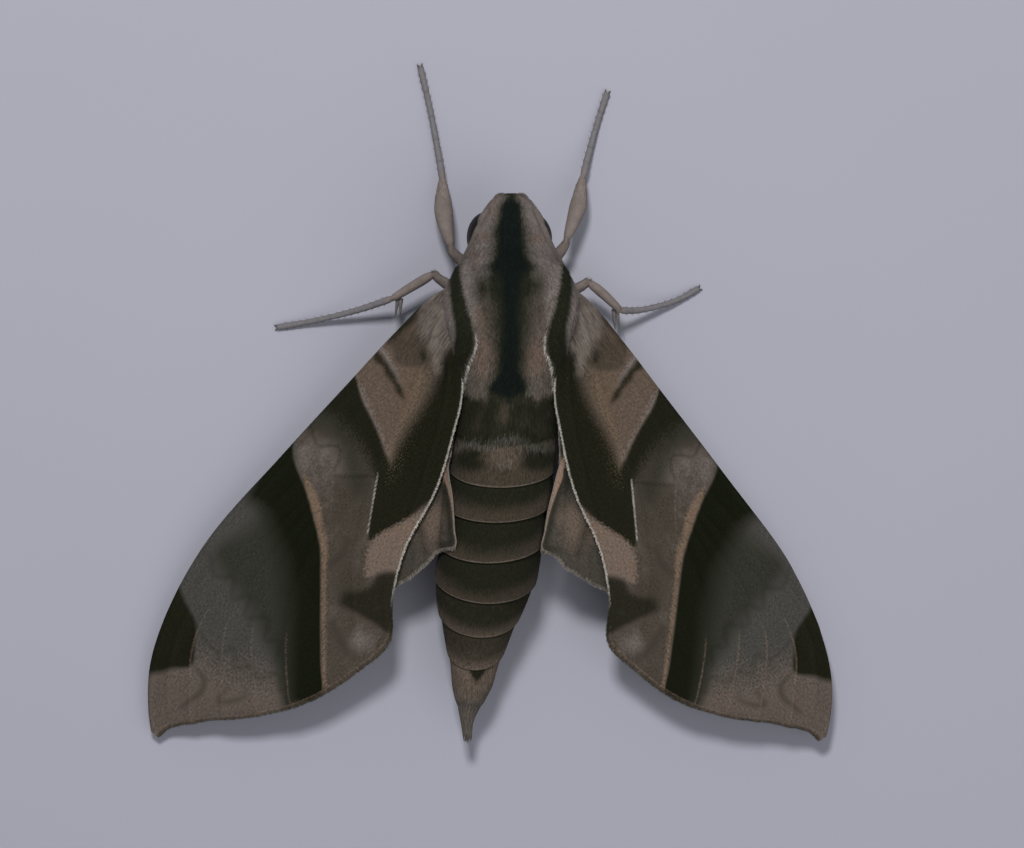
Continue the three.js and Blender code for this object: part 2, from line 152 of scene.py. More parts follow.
def spline(points: Sequence[Sequence[float]], count: int, closed: bool = False) -> Array:
    """Points spread evenly along a smooth curve through the given ones.

    Args:
        points: the points the curve passes through.
        count: how many points are returned.
        closed: whether the curve joins up with itself.
    Returns:
        An array of count rows.
    """
    base = np.array(points, float)
    if closed:
        base = np.concatenate([base[-1:], base, base[:2]])
    else:
        base = np.concatenate([2 * base[:1] - base[1:2], base, 2 * base[-1:] - base[-2:-1]])
    pieces = []
    for i in range(1, len(base) - 2):
        p0, p1, p2, p3 = base[i - 1:i + 3]
        u = np.linspace(0, 1, CURVE_STEPS, endpoint=False)[:, None]
        pieces.append(0.5 * (2 * p1 + (p2 - p0) * u + (2 * p0 - 5 * p1 + 4 * p2 - p3) * u ** 2
                             + (3 * p1 - p0 - 3 * p2 + p3) * u ** 3))
    fine = np.concatenate(pieces + [base[-2:-1]])
    run = np.concatenate([[0], np.cumsum(np.linalg.norm(np.diff(fine[:, :3], axis=0), axis=1))])
    target = np.linspace(0, run[-1], count + 1)[:-1] if closed else np.linspace(0, run[-1], count)
    return np.stack([np.interp(target, run, fine[:, k]) for k in range(fine.shape[1])], axis=1)


def near_line(points: Array, line: Array) -> tuple[Array, Array]:
    """Distance from each point to an open polyline, and the place along it of the nearest spot.

    Args:
        points: rows of two coordinates.
        line: rows of two coordinates.
    Returns:
        Distances, and positions from 0 to 1 along the line.
    """
    best = np.full(len(points), 1e9)
    place = np.zeros(len(points))
    for i in range(len(line) - 1):
        a, b = line[i, :2], line[i + 1, :2]
        along = b - a
        t = np.clip(((points - a) @ along) / max(along @ along, 1e-12), 0, 1)
        gap = np.linalg.norm(points - (a + t[:, None] * along), axis=1)
        closer = gap < best
        best[closer] = gap[closer]
        place[closer] = (i + t[closer]) / (len(line) - 1)
    return best, place


def inside(points: Array, outline: Array) -> Array:
    """Whether each point lies inside a closed outline."""
    x, y = points[:, 0], points[:, 1]
    hit = np.zeros(len(points), bool)
    for i in range(len(outline)):
        (x0, y0), (x1, y1) = outline[i - 1, :2], outline[i, :2]
        if y0 == y1:
            continue
        crosses = (y0 > y) != (y1 > y)
        hit ^= crosses & (x < (x1 - x0) * (y - y0) / (y1 - y0) + x0)
    return hit


@dataclass(frozen=True)
class Patch:
    """A marking bounded by a smooth outline of (x, y, softness) points."""

    outline: Rows

    STEPS = 90

    def field(self, points: Array) -> Array:
        """Depth inside the patch over its edge's softness: positive inside, negative outside."""
        line = spline(self.outline, self.STEPS, closed=True)
        ring = np.concatenate([line, line[:1]])
        gap, place = near_line(points, ring)
        soft = np.interp(place, np.linspace(0, 1, len(ring)), ring[:, 2])
        sign = np.where(inside(points, line), 1.0, -1.0)
        return held(sign * gap / soft)


@dataclass(frozen=True)
class Stroke:
    """A marking that follows a curve of (x, y, half width) points with one softness."""

    line: Rows
    soft: float

    STEPS = 60

    def field(self, points: Array) -> Array:
        """Depth inside the stroke over its softness."""
        line = spline(self.line, self.STEPS)
        gap, place = near_line(points, line)
        half = np.interp(place, np.linspace(0, 1, len(line)), line[:, 2])
        return held((half - gap) / self.soft)


# ---------------- meshes


@dataclass
class Surface:
    """A grid of points with what its vertices carry, ready to become a mesh."""

    points: Array
    uv: Array
    wrap: bool = False
    marks: dict[str, Array] = field(default_factory=dict)
    flip: bool = False

    POLE_GAP = 0.004  # how far past the grid's UVs a fan's middle lies

    def faces(self) -> tuple[Array, Array]:
        """Quads of the grid as vertex numbers (n, 4), and their corners' UVs (n, 4, 2)."""
        rows, cols = self.points.shape[:2]
        r, c = np.meshgrid(np.arange(rows - 1), np.arange(cols if self.wrap else cols - 1), indexing="ij")
        r, c = r.ravel(), c.ravel()
        nxt = (c + 1) % cols
        quads = np.stack([r * cols + c, r * cols + nxt, (r + 1) * cols + nxt, (r + 1) * cols + c], 1)
        uv = np.stack([self.uv[r, c], self.uv[r, c + 1], self.uv[r + 1, c + 1], self.uv[r + 1, c]], 1)
        if self.flip:
            quads, uv = quads[:, ::-1], uv[:, ::-1]
        return quads, uv

    def build(self, name: str) -> Thing:
        """Make the mesh object, closed by a fan at each end where the grid wraps.

        Args:
            name: the object's name.
        Returns:
            The object, in metres in the part's frame.
        """
        rows, cols = self.points.shape[:2]
        quads, uv = self.faces()
        points = self.points.reshape(-1, 3)
        faces = [tuple(q) for q in quads.tolist()]
        corner_uv = [uv.reshape(-1, 2)]
        marks = {key: np.asarray(value, float).reshape(rows * cols, -1) for key, value in self.marks.items()}
        if self.wrap:
            for row, turn in ((0, not self.flip), (rows - 1, self.flip)):
                start, pole = row * cols, len(points)
                points = np.concatenate([points, points[start:start + cols].mean(0, keepdims=True)])
                for key, value in marks.items():
                    marks[key] = np.concatenate([value, value[start:start + cols].mean(0, keepdims=True)])
                edge = self.uv[row]
                v_pole = edge[0, 1] + (-self.POLE_GAP if row == 0 else self.POLE_GAP)
                for c in range(cols):
                    tri = (pole, start + (c + 1) % cols, start + c)
                    tri_uv = [((edge[c, 0] + edge[c + 1, 0]) / 2, v_pole), edge[c + 1], edge[c]]
                    faces.append(tri[::-1] if turn else tri)
                    corner_uv.append(np.array(tri_uv[::-1] if turn else tri_uv, float))
        mesh = bpy.data.meshes.new(name)
        mesh.from_pydata(GROUND.place(points).tolist(), [], faces)
        layer = mesh.uv_layers.new(name="OFBake")
        layer.data.foreach_set("uv", np.concatenate(corner_uv).astype(np.float32).ravel())
        for key, value in marks.items():
            set_mark(mesh, key, value)
        mesh.shade_smooth()
        mesh.update()
        return linked(name, mesh)


def linked(name: str, data: bpy.types.ID) -> Thing:
    """A new object of the scene with the given data."""
    thing = bpy.data.objects.new(name, data)
    bpy.context.scene.collection.objects.link(thing)
    return thing


def forget(mesh: Mesh, *names: str) -> None:
    """Take named attributes off a mesh, where it has them."""
    for name in names:
        if name in mesh.attributes:
            mesh.attributes.remove(mesh.attributes[name])


def set_mark(mesh: Mesh, name: str, values: Array) -> None:
    """Store a number or vector for each vertex under a name."""
    forget(mesh, name)
    values = np.asarray(values, np.float32)
    wide = values.size == 3 * len(mesh.vertices)
    mark = mesh.attributes.new(name, "FLOAT_VECTOR" if wide else "FLOAT", "POINT")
    mark.data.foreach_set("vector" if wide else "value", values.ravel())


def get_mark(mesh: Mesh, name: str) -> Array:
    """The numbers or vectors that the vertices carry under a name."""
    mark = mesh.attributes[name]
    wide = 3 if mark.data_type == "FLOAT_VECTOR" else 1
    values = np.zeros(len(mesh.vertices) * wide, np.float32)
    mark.data.foreach_get("vector" if wide == 3 else "value", values)
    return values.reshape(-1, 3) if wide == 3 else values


def joined(name: str, things: Sequence[Thing]) -> Thing:
    """Join mesh objects into one under a new name."""
    bpy.ops.object.select_all(action="DESELECT")
    for thing in things:
        thing.select_set(True)
    bpy.context.view_layer.objects.active = things[0]
    if len(things) > 1:
        bpy.ops.object.join()
    things[0].name = things[0].data.name = name
    return things[0]


def tube(path: Array, radius: Array, around: int) -> Array:
    """Rings of points round a path, turned along it without twist.

    Args:
        path: points (n, 3).
        radius: a radius for each.
        around: points in a ring.
    Returns:
        Points (n, around, 3).
    """
    ahead = unit(np.gradient(path, axis=0))
    side = unit(np.cross(ahead[0], UP))
    rings = []
    for centre, direction, size in zip(path, ahead, radius):
        side = unit(side - direction * (side @ direction))
        over = np.cross(side, direction)
        angle = np.linspace(0, 2 * np.pi, around, endpoint=False)[:, None]
        rings.append(centre + size * (np.cos(angle) * side + np.sin(angle) * over))
    return np.array(rings)


def grid_uv(rows: int, cols: int, widest: float = 0.99) -> Array:
    """Even UVs for a grid, one column more than the points where it wraps."""
    v, u = np.meshgrid(np.linspace(0.01, 0.99, rows), np.linspace(0.01, widest, cols), indexing="ij")
    return np.stack([u, v], axis=-1)


def lengthwise(line: Array, around: int) -> Array:
    """The unit direction along a limb at every point of its rings."""
    return unit(np.repeat(np.gradient(line[:, :3], axis=0)[:, None], around, 1))


# ---------------- shader writing


class Socket:
    """A shader value that plain arithmetic can be written with."""

    def __init__(self, paint: "Paint", link: Link | float) -> None:
        self.paint, self.link = paint, link

    def _math(self, operation: str, *values: "Socket | float") -> "Socket":
        inputs = {i: value for i, value in enumerate((self, *values))}
        return self.paint.node("ShaderNodeMath", {"operation": operation}, inputs)

    def __add__(self, other: "Socket | float") -> "Socket":
        return self._math("ADD", other)

    def __sub__(self, other: "Socket | float") -> "Socket":
        return self._math("SUBTRACT", other)

    def __mul__(self, other: "Socket | float") -> "Socket":
        return self._math("MULTIPLY", other)

    def __rsub__(self, other: float) -> "Socket":
        return Socket(self.paint, other)._math("SUBTRACT", self)

    __radd__ = __add__
    __rmul__ = __mul__

    def clamp(self) -> "Socket":
        """Held between 0 and 1."""
        return self.paint.node("ShaderNodeClamp", {}, {"Value": self})

    def absolute(self) -> "Socket":
        """Without its sign."""
        return self._math("ABSOLUTE")

    def ramp(self, low: float, high: float) -> "Socket":
        """Smooth step from 0 at low to 1 at high."""
        return self.paint.node("ShaderNodeMapRange", {"interpolation_type": "SMOOTHSTEP"},
                               {"Value": self, "From Min": low, "From Max": high})


Colour = tuple[float, float, float]


class Paint:
    """One node material being written."""

    NOISE_SWING = 3.2  # brings the noise to about -1 to 1

    def __init__(self, name: str) -> None:
        self.material = bpy.data.materials.new(name)
        self.material.use_nodes = True
        self.tree = self.material.node_tree
        self.tree.nodes.clear()

    def node(self, kind: str, settings: dict, values: dict, output: int | str = 0) -> Socket:
        """Add a node.

        Args:
            kind: the node's type.
            settings: its own properties, set first.
            values: socket name or number to a value, a colour or a Socket.
            output: the output wanted.
        Returns:
            That output.
        """
        made = self.tree.nodes.new(kind)
        for key, value in settings.items():
            setattr(made, key, value)
        for key, value in values.items():
            entry = made.inputs[key]
            source = value.link if isinstance(value, Socket) else value
            if isinstance(source, Link):
                self.tree.links.new(source, entry)
            elif isinstance(source, tuple) and entry.type == "RGBA":
                entry.default_value = (*source, 1.0)
            else:
                entry.default_value = source
        return Socket(self, made.outputs[output])

    def mark(self, name: str) -> Socket:
        """A number that the mesh carries."""
        return self.node("ShaderNodeAttribute", {"attribute_name": name}, {}, "Fac")

    def place(self, name: str) -> Socket:
        """A vector that the mesh carries."""
        return self.node("ShaderNodeAttribute", {"attribute_name": name}, {}, "Vector")

    def noise(self, where: Socket, scale: float, detail: float = 3.0, stretch: Colour = (1, 1, 1)) -> Socket:
        """Noise about zero, from roughly -1 to 1.

        Args:
            where: the coordinates.
            scale: its fineness.
            detail: its octaves.
            stretch: how the coordinates are scaled first.
        Returns:
            The noise.
        """
        mapped = self.node("ShaderNodeMapping", {}, {"Vector": where, "Scale": stretch})
        raw = self.node("ShaderNodeTexNoise", {}, {"Vector": mapped, "Scale": scale, "Detail": detail}, "Fac")
        return (raw - 0.5) * self.NOISE_SWING

    def mix(self, factor: Socket | float, first: Socket | Colour, second: Socket | Colour,
            blend: str = "MIX") -> Socket:
        """Blend two colours."""
        return self.node("ShaderNodeMix", {"data_type": "RGBA", "blend_type": blend},
                         {0: factor, 6: first, 7: second}, 2)

    def cover(self, name: str, grain: Socket, sharpness: float = 0.5) -> Socket:
        """How fully a marking covers, from 0 to 1, its edge broken up by grain."""
        return (self.mark(name) * sharpness + grain + 0.5).clamp()

    def lay(self, colour: Socket | Colour, grain: Socket, sharpness: float, layers: Iterable[tuple]) -> Socket:
        """Lay markings over a colour, one after another.

        Args:
            colour: what lies below them.
            grain: what breaks up their edges.
            sharpness: how sharp the edges are.
            layers: rows of (mark, share of the grain, strength, colour).
        Returns:
            The colour with the markings.
        """
        for name, share, strength, tint in layers:
            colour = self.mix(self.cover(name, grain * share, sharpness) * strength, colour, tint)
        return colour

    def shade(self, colour: Socket | Colour, value: Socket) -> Socket:
        """Brighten or darken a colour by a factor about 1."""
        grey = self.node("ShaderNodeCombineColor", {}, {0: value, 1: value, 2: value})
        return self.mix(1.0, colour, grey, "MULTIPLY")

    def bump(self, height: Socket, strength: float, distance: float) -> Socket:
        """Relief for the Normal socket."""
        return self.node("ShaderNodeBump", {}, {"Height": height, "Strength": strength, "Distance": distance})

    def finish(self, colour: Socket | Colour, roughness: Socket | float, normal: Socket | None = None,
               **others: float) -> Material:
        """End the material in a Principled shader.

        Args:
            colour: Base Color.
            roughness: Roughness.
            normal: Normal.
            others: plain values of other sockets, their spaces written as underlines.
        Returns:
            The material.
        """
        values: dict = {"Base Color": colour, "Roughness": roughness}
        if normal is not None:
            values["Normal"] = normal
        values.update({key.replace("_", " "): value for key, value in others.items()})
        shader = self.node("ShaderNodeBsdfPrincipled", {}, values)
        end = self.tree.nodes.new("ShaderNodeOutputMaterial")
        self.tree.links.new(shader.link, end.inputs["Surface"])
        return self.material


# ---------------- finishes


@dataclass(frozen=True)
class BodyColours:
    """Colours of the hair-scales on head, thorax and abdomen."""

    pink_grey: Colour = (0.178, 0.151, 0.137)
    rosy: Colour = (0.158, 0.112, 0.088)
    pale: Colour = (0.118, 0.112, 0.095)
    stripe: Colour = (0.0045, 0.0078, 0.0062)
    olive: Colour = (0.0150, 0.0168, 0.0085)
    thorax: Colour = (0.112, 0.092, 0.076)
    ring_dark: Colour = (0.0135, 0.0140, 0.0070)
    ring_pink: Colour = (0.056, 0.044, 0.031)
    disc: Colour = (0.112, 0.084, 0.064)
    line: Colour = (0.140, 0.115, 0.088)
    rim: Colour = (0.400, 0.385, 0.350)
    belly: Colour = (0.135, 0.108, 0.090)
    tail: Colour = (0.125, 0.096, 0.074)
    tuft: Colour = (0.102, 0.088, 0.073)

    SHARPNESS = 0.6
    MARKS = ("stripe", "mottle", "rosy", "pale_zone", "shoulder", "rim", "rim_side", "belly", "ring_pink", "ring_dark",
             "ring_line", "tail", "disc", "tuft", "haze")

    def material(self) -> Material:
        """Hair-scale coat and the skin below it, which carry the same markings."""
        paint = Paint("body_coat")
        root = paint.place("root")
        fine = paint.noise(root, 2.6, 4, (1.0, 0.35, 1.0))
        broad = paint.noise(root, 0.45, 3)
        grit = paint.noise(root, 4.4, 1)
        grain = fine * 0.14 + broad * 0.10 + grit * 0.30
        colour = paint.lay(self.thorax, grain, self.SHARPNESS, (
            ("pale_zone", 1.0, 1.0, self.pink_grey), ("belly", 1.0, 1.0, self.belly), ("rosy", 1.0, 0.85, self.rosy),
            ("mottle", 1.0, 1.0, self.olive), ("ring_pink", 1.0, 1.0, self.ring_pink), ("tail", 1.0, 1.0, self.tail),
            ("ring_dark", 1.7, 1.0, self.ring_dark), ("disc", 1.3, 0.6, self.disc), ("tuft", 1.0, 1.0, self.tuft),
            ("ring_line", 1.2, 0.85, self.line), ("haze", 1.8, 0.55, self.pale), ("shoulder", 1.0, 1.0, self.olive),
            ("stripe", 1.0, 1.0, self.stripe),
        ))
        rim = ((0.16 - paint.mark("rim_side").absolute()) * 9 + grit * 0.3).clamp()
        colour = paint.mix(rim * paint.cover("rim", grain, self.SHARPNESS), colour, self.rim)
        # Painted shade: the along term darkens each lock toward its root, and the skin, which carries no along, gets
        # the root's shade beneath the coat. The tone, noise and grit terms are random tone.
        tone = paint.mark("tone") * 0.34 + paint.mark("along") * 0.12 + broad * 0.08 + fine * 0.10 + grit * 0.34 + 0.95
        hair = paint.noise(root, 9.0, 3, (1.0, 0.18, 1.0))
        normal = paint.bump(hair * 0.5 + fine * 0.3, 0.55, 0.00008)
        return paint.finish(paint.shade(colour, tone), 0.82, normal,
                            Sheen_Weight=0.02, Sheen_Roughness=0.4, Specular_IOR_Level=0.10)


@dataclass(frozen=True)
class WingColours:
    """Colours of the forewing's scales."""

    mid: Colour = (0.066, 0.053, 0.041)
    mid_pale: Colour = (0.124, 0.102, 0.088)
    base_pale: Colour = (0.172, 0.142, 0.120)
    wedge: Colour = (0.116, 0.084, 0.062)
    wedge_edge: Colour = (0.170, 0.142, 0.124)
    ochre: Colour = (0.122, 0.086, 0.058)
    brown: Colour = (0.048, 0.040, 0.028)
    dark: Colour = (0.0105, 0.0105, 0.0045)
    big_dark: Colour = (0.0055, 0.0068, 0.0018)
    band: Colour = (0.0110, 0.0112, 0.0050)
    dusk: Colour = (0.0260, 0.0265, 0.0185)
    outer: Colour = (0.058, 0.054, 0.047)
    outer_pink: Colour = (0.108, 0.085, 0.069)
    pink: Colour = (0.176, 0.122, 0.090)
    streak: Colour = (0.168, 0.116, 0.079)
    line: Colour = (0.420, 0.395, 0.345)
    gold: Colour = (0.200, 0.142, 0.088)
    under: Colour = (0.115, 0.088, 0.064)

    SHARPNESS = 0.65

    def material(self) -> Material:
        """Upper side in bands and wedges, under side in warm dusty brown."""
        paint = Paint("forewing_scales")
        flat = paint.place("plan")
        fine = paint.noise(flat, 5.5, 3, (0.30, 1.0, 1.0))
        broad = paint.noise(flat, 0.55, 3, (0.6, 1.0, 1.0))
        grit = paint.noise(flat, 4.4, 1, (0.8, 1.0, 1.0))
        grain = fine * 0.14 + broad * 0.12 + grit * 0.38
        speck = paint.noise(flat, 8.0, 1)

        def over(name: str) -> Socket:
            return paint.cover(name, grain, self.SHARPNESS)

        def lay(colour: Socket | Colour, *layers: tuple) -> Socket:
            return paint.lay(colour, grain, self.SHARPNESS, layers)

        cloud = (broad * 0.7 + paint.mark("lilac") * 0.5 + 0.35).clamp()
        rosy = paint.mix((fine * 0.9 + broad * 0.5 + 0.3).clamp(), self.pink, self.mid_pale)
        wedge = lay(self.wedge, ("wedge_edge", 1.0, 1.0, self.wedge_edge), ("ochre", 1.0, 0.9, self.ochre))
        colour = lay(
            paint.mix(cloud, self.mid, self.mid_pale),
            ("outer", 0.4, 1.0, lay(self.outer, ("pinkish", 1.3, 1.0, self.outer_pink))),
            ("basal", 1.0, 1.0, self.base_pale),
            ("wedge", 1.0, 1.0, wedge),
            ("brown", 1.4, 0.65, self.brown), ("smoke", 2.0, 0.75, self.dusk), ("band", 1.4, 1.0, self.band),
            ("dark", 1.0, 1.0, self.dark), ("costal", 1.5, 0.9, self.band), ("pink_patch", 1.4, 1.0, rosy),
            ("tornal", 1.5, 0.85, self.dark), ("wave", 1.6, 0.45, self.dark), ("dusky", 1.0, 0.9, self.dusk),
            ("streak", 0.9, 0.9, self.streak), ("big_dark", 0.6, 1.0, self.big_dark),
            ("lunule", 1.2, 0.40, self.big_dark), ("apical", 0.7, 1.0, self.dark),
        )
        colour = paint.mix((speck - 0.62).ramp(0.0, 0.4) * over("dark") * 0.5, colour, self.mid_pale)
        colour = paint.mix((speck - 0.30).ramp(0.0, 0.4) * over("gold") * 0.8, colour, self.gold)
        colour = lay(colour, ("vein", 1.0, 0.45, self.pink), ("fringe", 0.6, 0.7, self.brown),
                     ("line", 0.5, 0.85, self.line))
        below = paint.mix((broad * 0.5 + grain * 0.4 + 0.5).clamp(), self.under, self.mid)
        below = lay(below, ("big_dark", 1.0, 0.5, self.outer))
        colour = paint.mix(paint.mark("underside"), colour, below)
        tone = fine * 0.14 + grit * 0.36 + speck * 0.14 + broad * 0.08 + 1.0 + paint.mark("tone") * 0.15
        scales = paint.noise(flat, 11.0, 2, (0.35, 1.0, 1.0))
        normal = paint.bump(scales * 0.5 + fine * 0.5, 0.35, 0.00006)
        return paint.finish(paint.shade(colour, tone), 0.60, normal, Specular_IOR_Level=0.07)


@dataclass(frozen=True)
class HindwingColours:
    """Colours of the hindwing's scales."""

    brown: Colour = (0.124, 0.092, 0.070)
    grey: Colour = (0.058, 0.050, 0.040)
    fleck: Colour = (0.018, 0.018, 0.012)
    rosy: Colour = (0.250, 0.168, 0.122)
    edge: Colour = (0.190, 0.165, 0.140)

    def material(self) -> Material:
        """Grey-brown scales with dark flecks, a rosy inner edge and a pale rim."""
        paint = Paint("hindwing_scales")
        flat = paint.place("plan")
        fine = paint.noise(flat, 5.0, 3, (0.35, 1.0, 1.0))
        broad = paint.noise(flat, 0.6, 3)
        flecks = paint.noise(flat, 1.5, 4, (0.5, 1.0, 1.0))
        grit = paint.noise(flat, 4.4, 1)
        colour = paint.mix(paint.cover("pinkish", broad * 0.5 + fine * 0.3), self.grey, self.brown)
        colour = paint.mix((flecks - 0.45).ramp(0.0, 0.6) * 0.65, colour, self.fleck)
        colour = paint.mix(paint.cover("shade", fine * 0.3) * 0.8, colour, self.fleck)
        colour = paint.mix(paint.cover("rosy", fine * 0.2), colour, self.rosy)
        colour = paint.mix(paint.cover("edge", fine * 0.2), colour, self.edge)
        tone = fine * 0.12 + grit * 0.36 + 1.0 + paint.mark("tone") * 0.15
        return paint.finish(paint.shade(colour, tone), 0.66, paint.bump(fine, 0.35, 0.00006), Specular_IOR_Level=0.10)


@dataclass(frozen=True)
class LimbColours:
    """Colours of legs, palps and antennae."""

    scales: Colour = (0.225, 0.184, 0.166)
    dusk: Colour = (0.150, 0.121, 0.106)
    foot: Colour = (0.175, 0.166, 0.172)
    joint: Colour = (0.070, 0.056, 0.047)

    def material(self, name: str) -> Material:
        """Fine flat scales, greyer on the feet and dark at the joints."""
        paint = Paint(name)
        root = paint.place("root")
        fine = paint.noise(root, 4.5, 3)
        broad = paint.noise(root, 0.7, 2)
        colour = paint.mix((broad * 0.5 + fine * 0.3 + 0.4).clamp(), self.scales, self.dusk)
        colour = paint.mix((paint.mark("foot") + fine * 0.2).clamp(), colour, self.foot)
        colour = paint.mix((paint.mark("joint") + fine * 0.15).clamp(), colour, self.joint)
        # Painted shade: the along term darkens each lock toward its root and leaves the bare skin below at the root's
        # shade. The noise and tone terms are random tone.
        colour = paint.shade(colour, fine * 0.26 + 1.0 + paint.mark("tone") * 0.22 + paint.mark("along") * 0.12)
        normal = paint.bump(fine, 0.5, 0.00006)
        return paint.finish(colour, 0.72, normal, Specular_IOR_Level=0.15)


@dataclass(frozen=True)
class EyeFinish:
    """Dark compound eye with a soft gloss and fine facets."""

    dark: Colour = (0.0045, 0.0045, 0.0050)
    brown: Colour = (0.0120, 0.0090, 0.0075)

    def material(self) -> Material:
        """Near-black with a brown cast in the middle."""
        paint = Paint("eye_gloss")
        spot = paint.node("ShaderNodeTexCoord", {}, {}, "Object")
        facets = paint.node("ShaderNodeTexVoronoi", {}, {"Vector": spot, "Scale": 9000.0, "Randomness": 0.25},
                            "Distance")
        cloud = paint.noise(spot, 900.0, 2)
        colour = paint.mix((cloud * 0.5 + 0.4).clamp(), self.dark, self.brown)
        normal = paint.bump(facets, 0.25, 0.00002)
        return paint.finish(colour, 0.32, normal, Specular_IOR_Level=0.10)


@dataclass(frozen=True)
class HornFinish:
    """Bare horn of claws, foot spines and tongue."""

    name: str
    colour: Colour
    roughness: float

    def material(self) -> Material:
        """Smooth horn, a little cloudy."""
        paint = Paint(self.name)
        spot = paint.node("ShaderNodeTexCoord", {}, {}, "Object")
        cloud = paint.noise(spot, 2500.0, 3)
        colour = paint.shade(self.colour, cloud * 0.2 + 1.0)
        return paint.finish(colour, self.roughness, paint.bump(cloud, 0.2, 0.00003), Specular_IOR_Level=0.4)


# ---------------- the coat of hair-scales


@dataclass(frozen=True)
class HairScale:
    """One lock of hair-scales: a thin closed blade of unit length, lying along Z."""

    rings: Rows = ((0.0, 0.38, 0.0), (0.5, 0.5, 0.10))
    keel: float = 0.55
    tip_drop: float = -0.05

    def build(self) -> Thing:
        """Blade with its flat side turned to X and its place in the lock stored for the finish."""
        points: list[Spot] = []
        for z, half, lift in self.rings:
            points += [(lift, -half, z), (lift, half, z), (lift + self.keel, 0.0, z)]
        tip, last = len(points), len(points) - 3
        points.append((self.tip_drop, 0.0, 1.0))
        faces: list[tuple[int, ...]] = [(0, 1, 2)]
        for low in range(0, last, 3):
            for i in range(3):
                j = (i + 1) % 3
                faces.append((low + i, low + 3 + i, low + 3 + j, low + j))
        faces += [(last + i, tip, last + (i + 1) % 3) for i in range(3)]
        mesh = bpy.data.meshes.new("hair_scale")
        mesh.from_pydata(points, [], faces)
        set_mark(mesh, "local", np.array([(y, z - 0.5, 0.0) for _, y, z in points]))
        # along runs from 0 at the root to 1 at the tip; the finishes use it to paint shade at the lock's root
        set_mark(mesh, "along", np.array([z for _, _, z in points]))
        mesh.update()
        return linked("hair_scale", mesh)


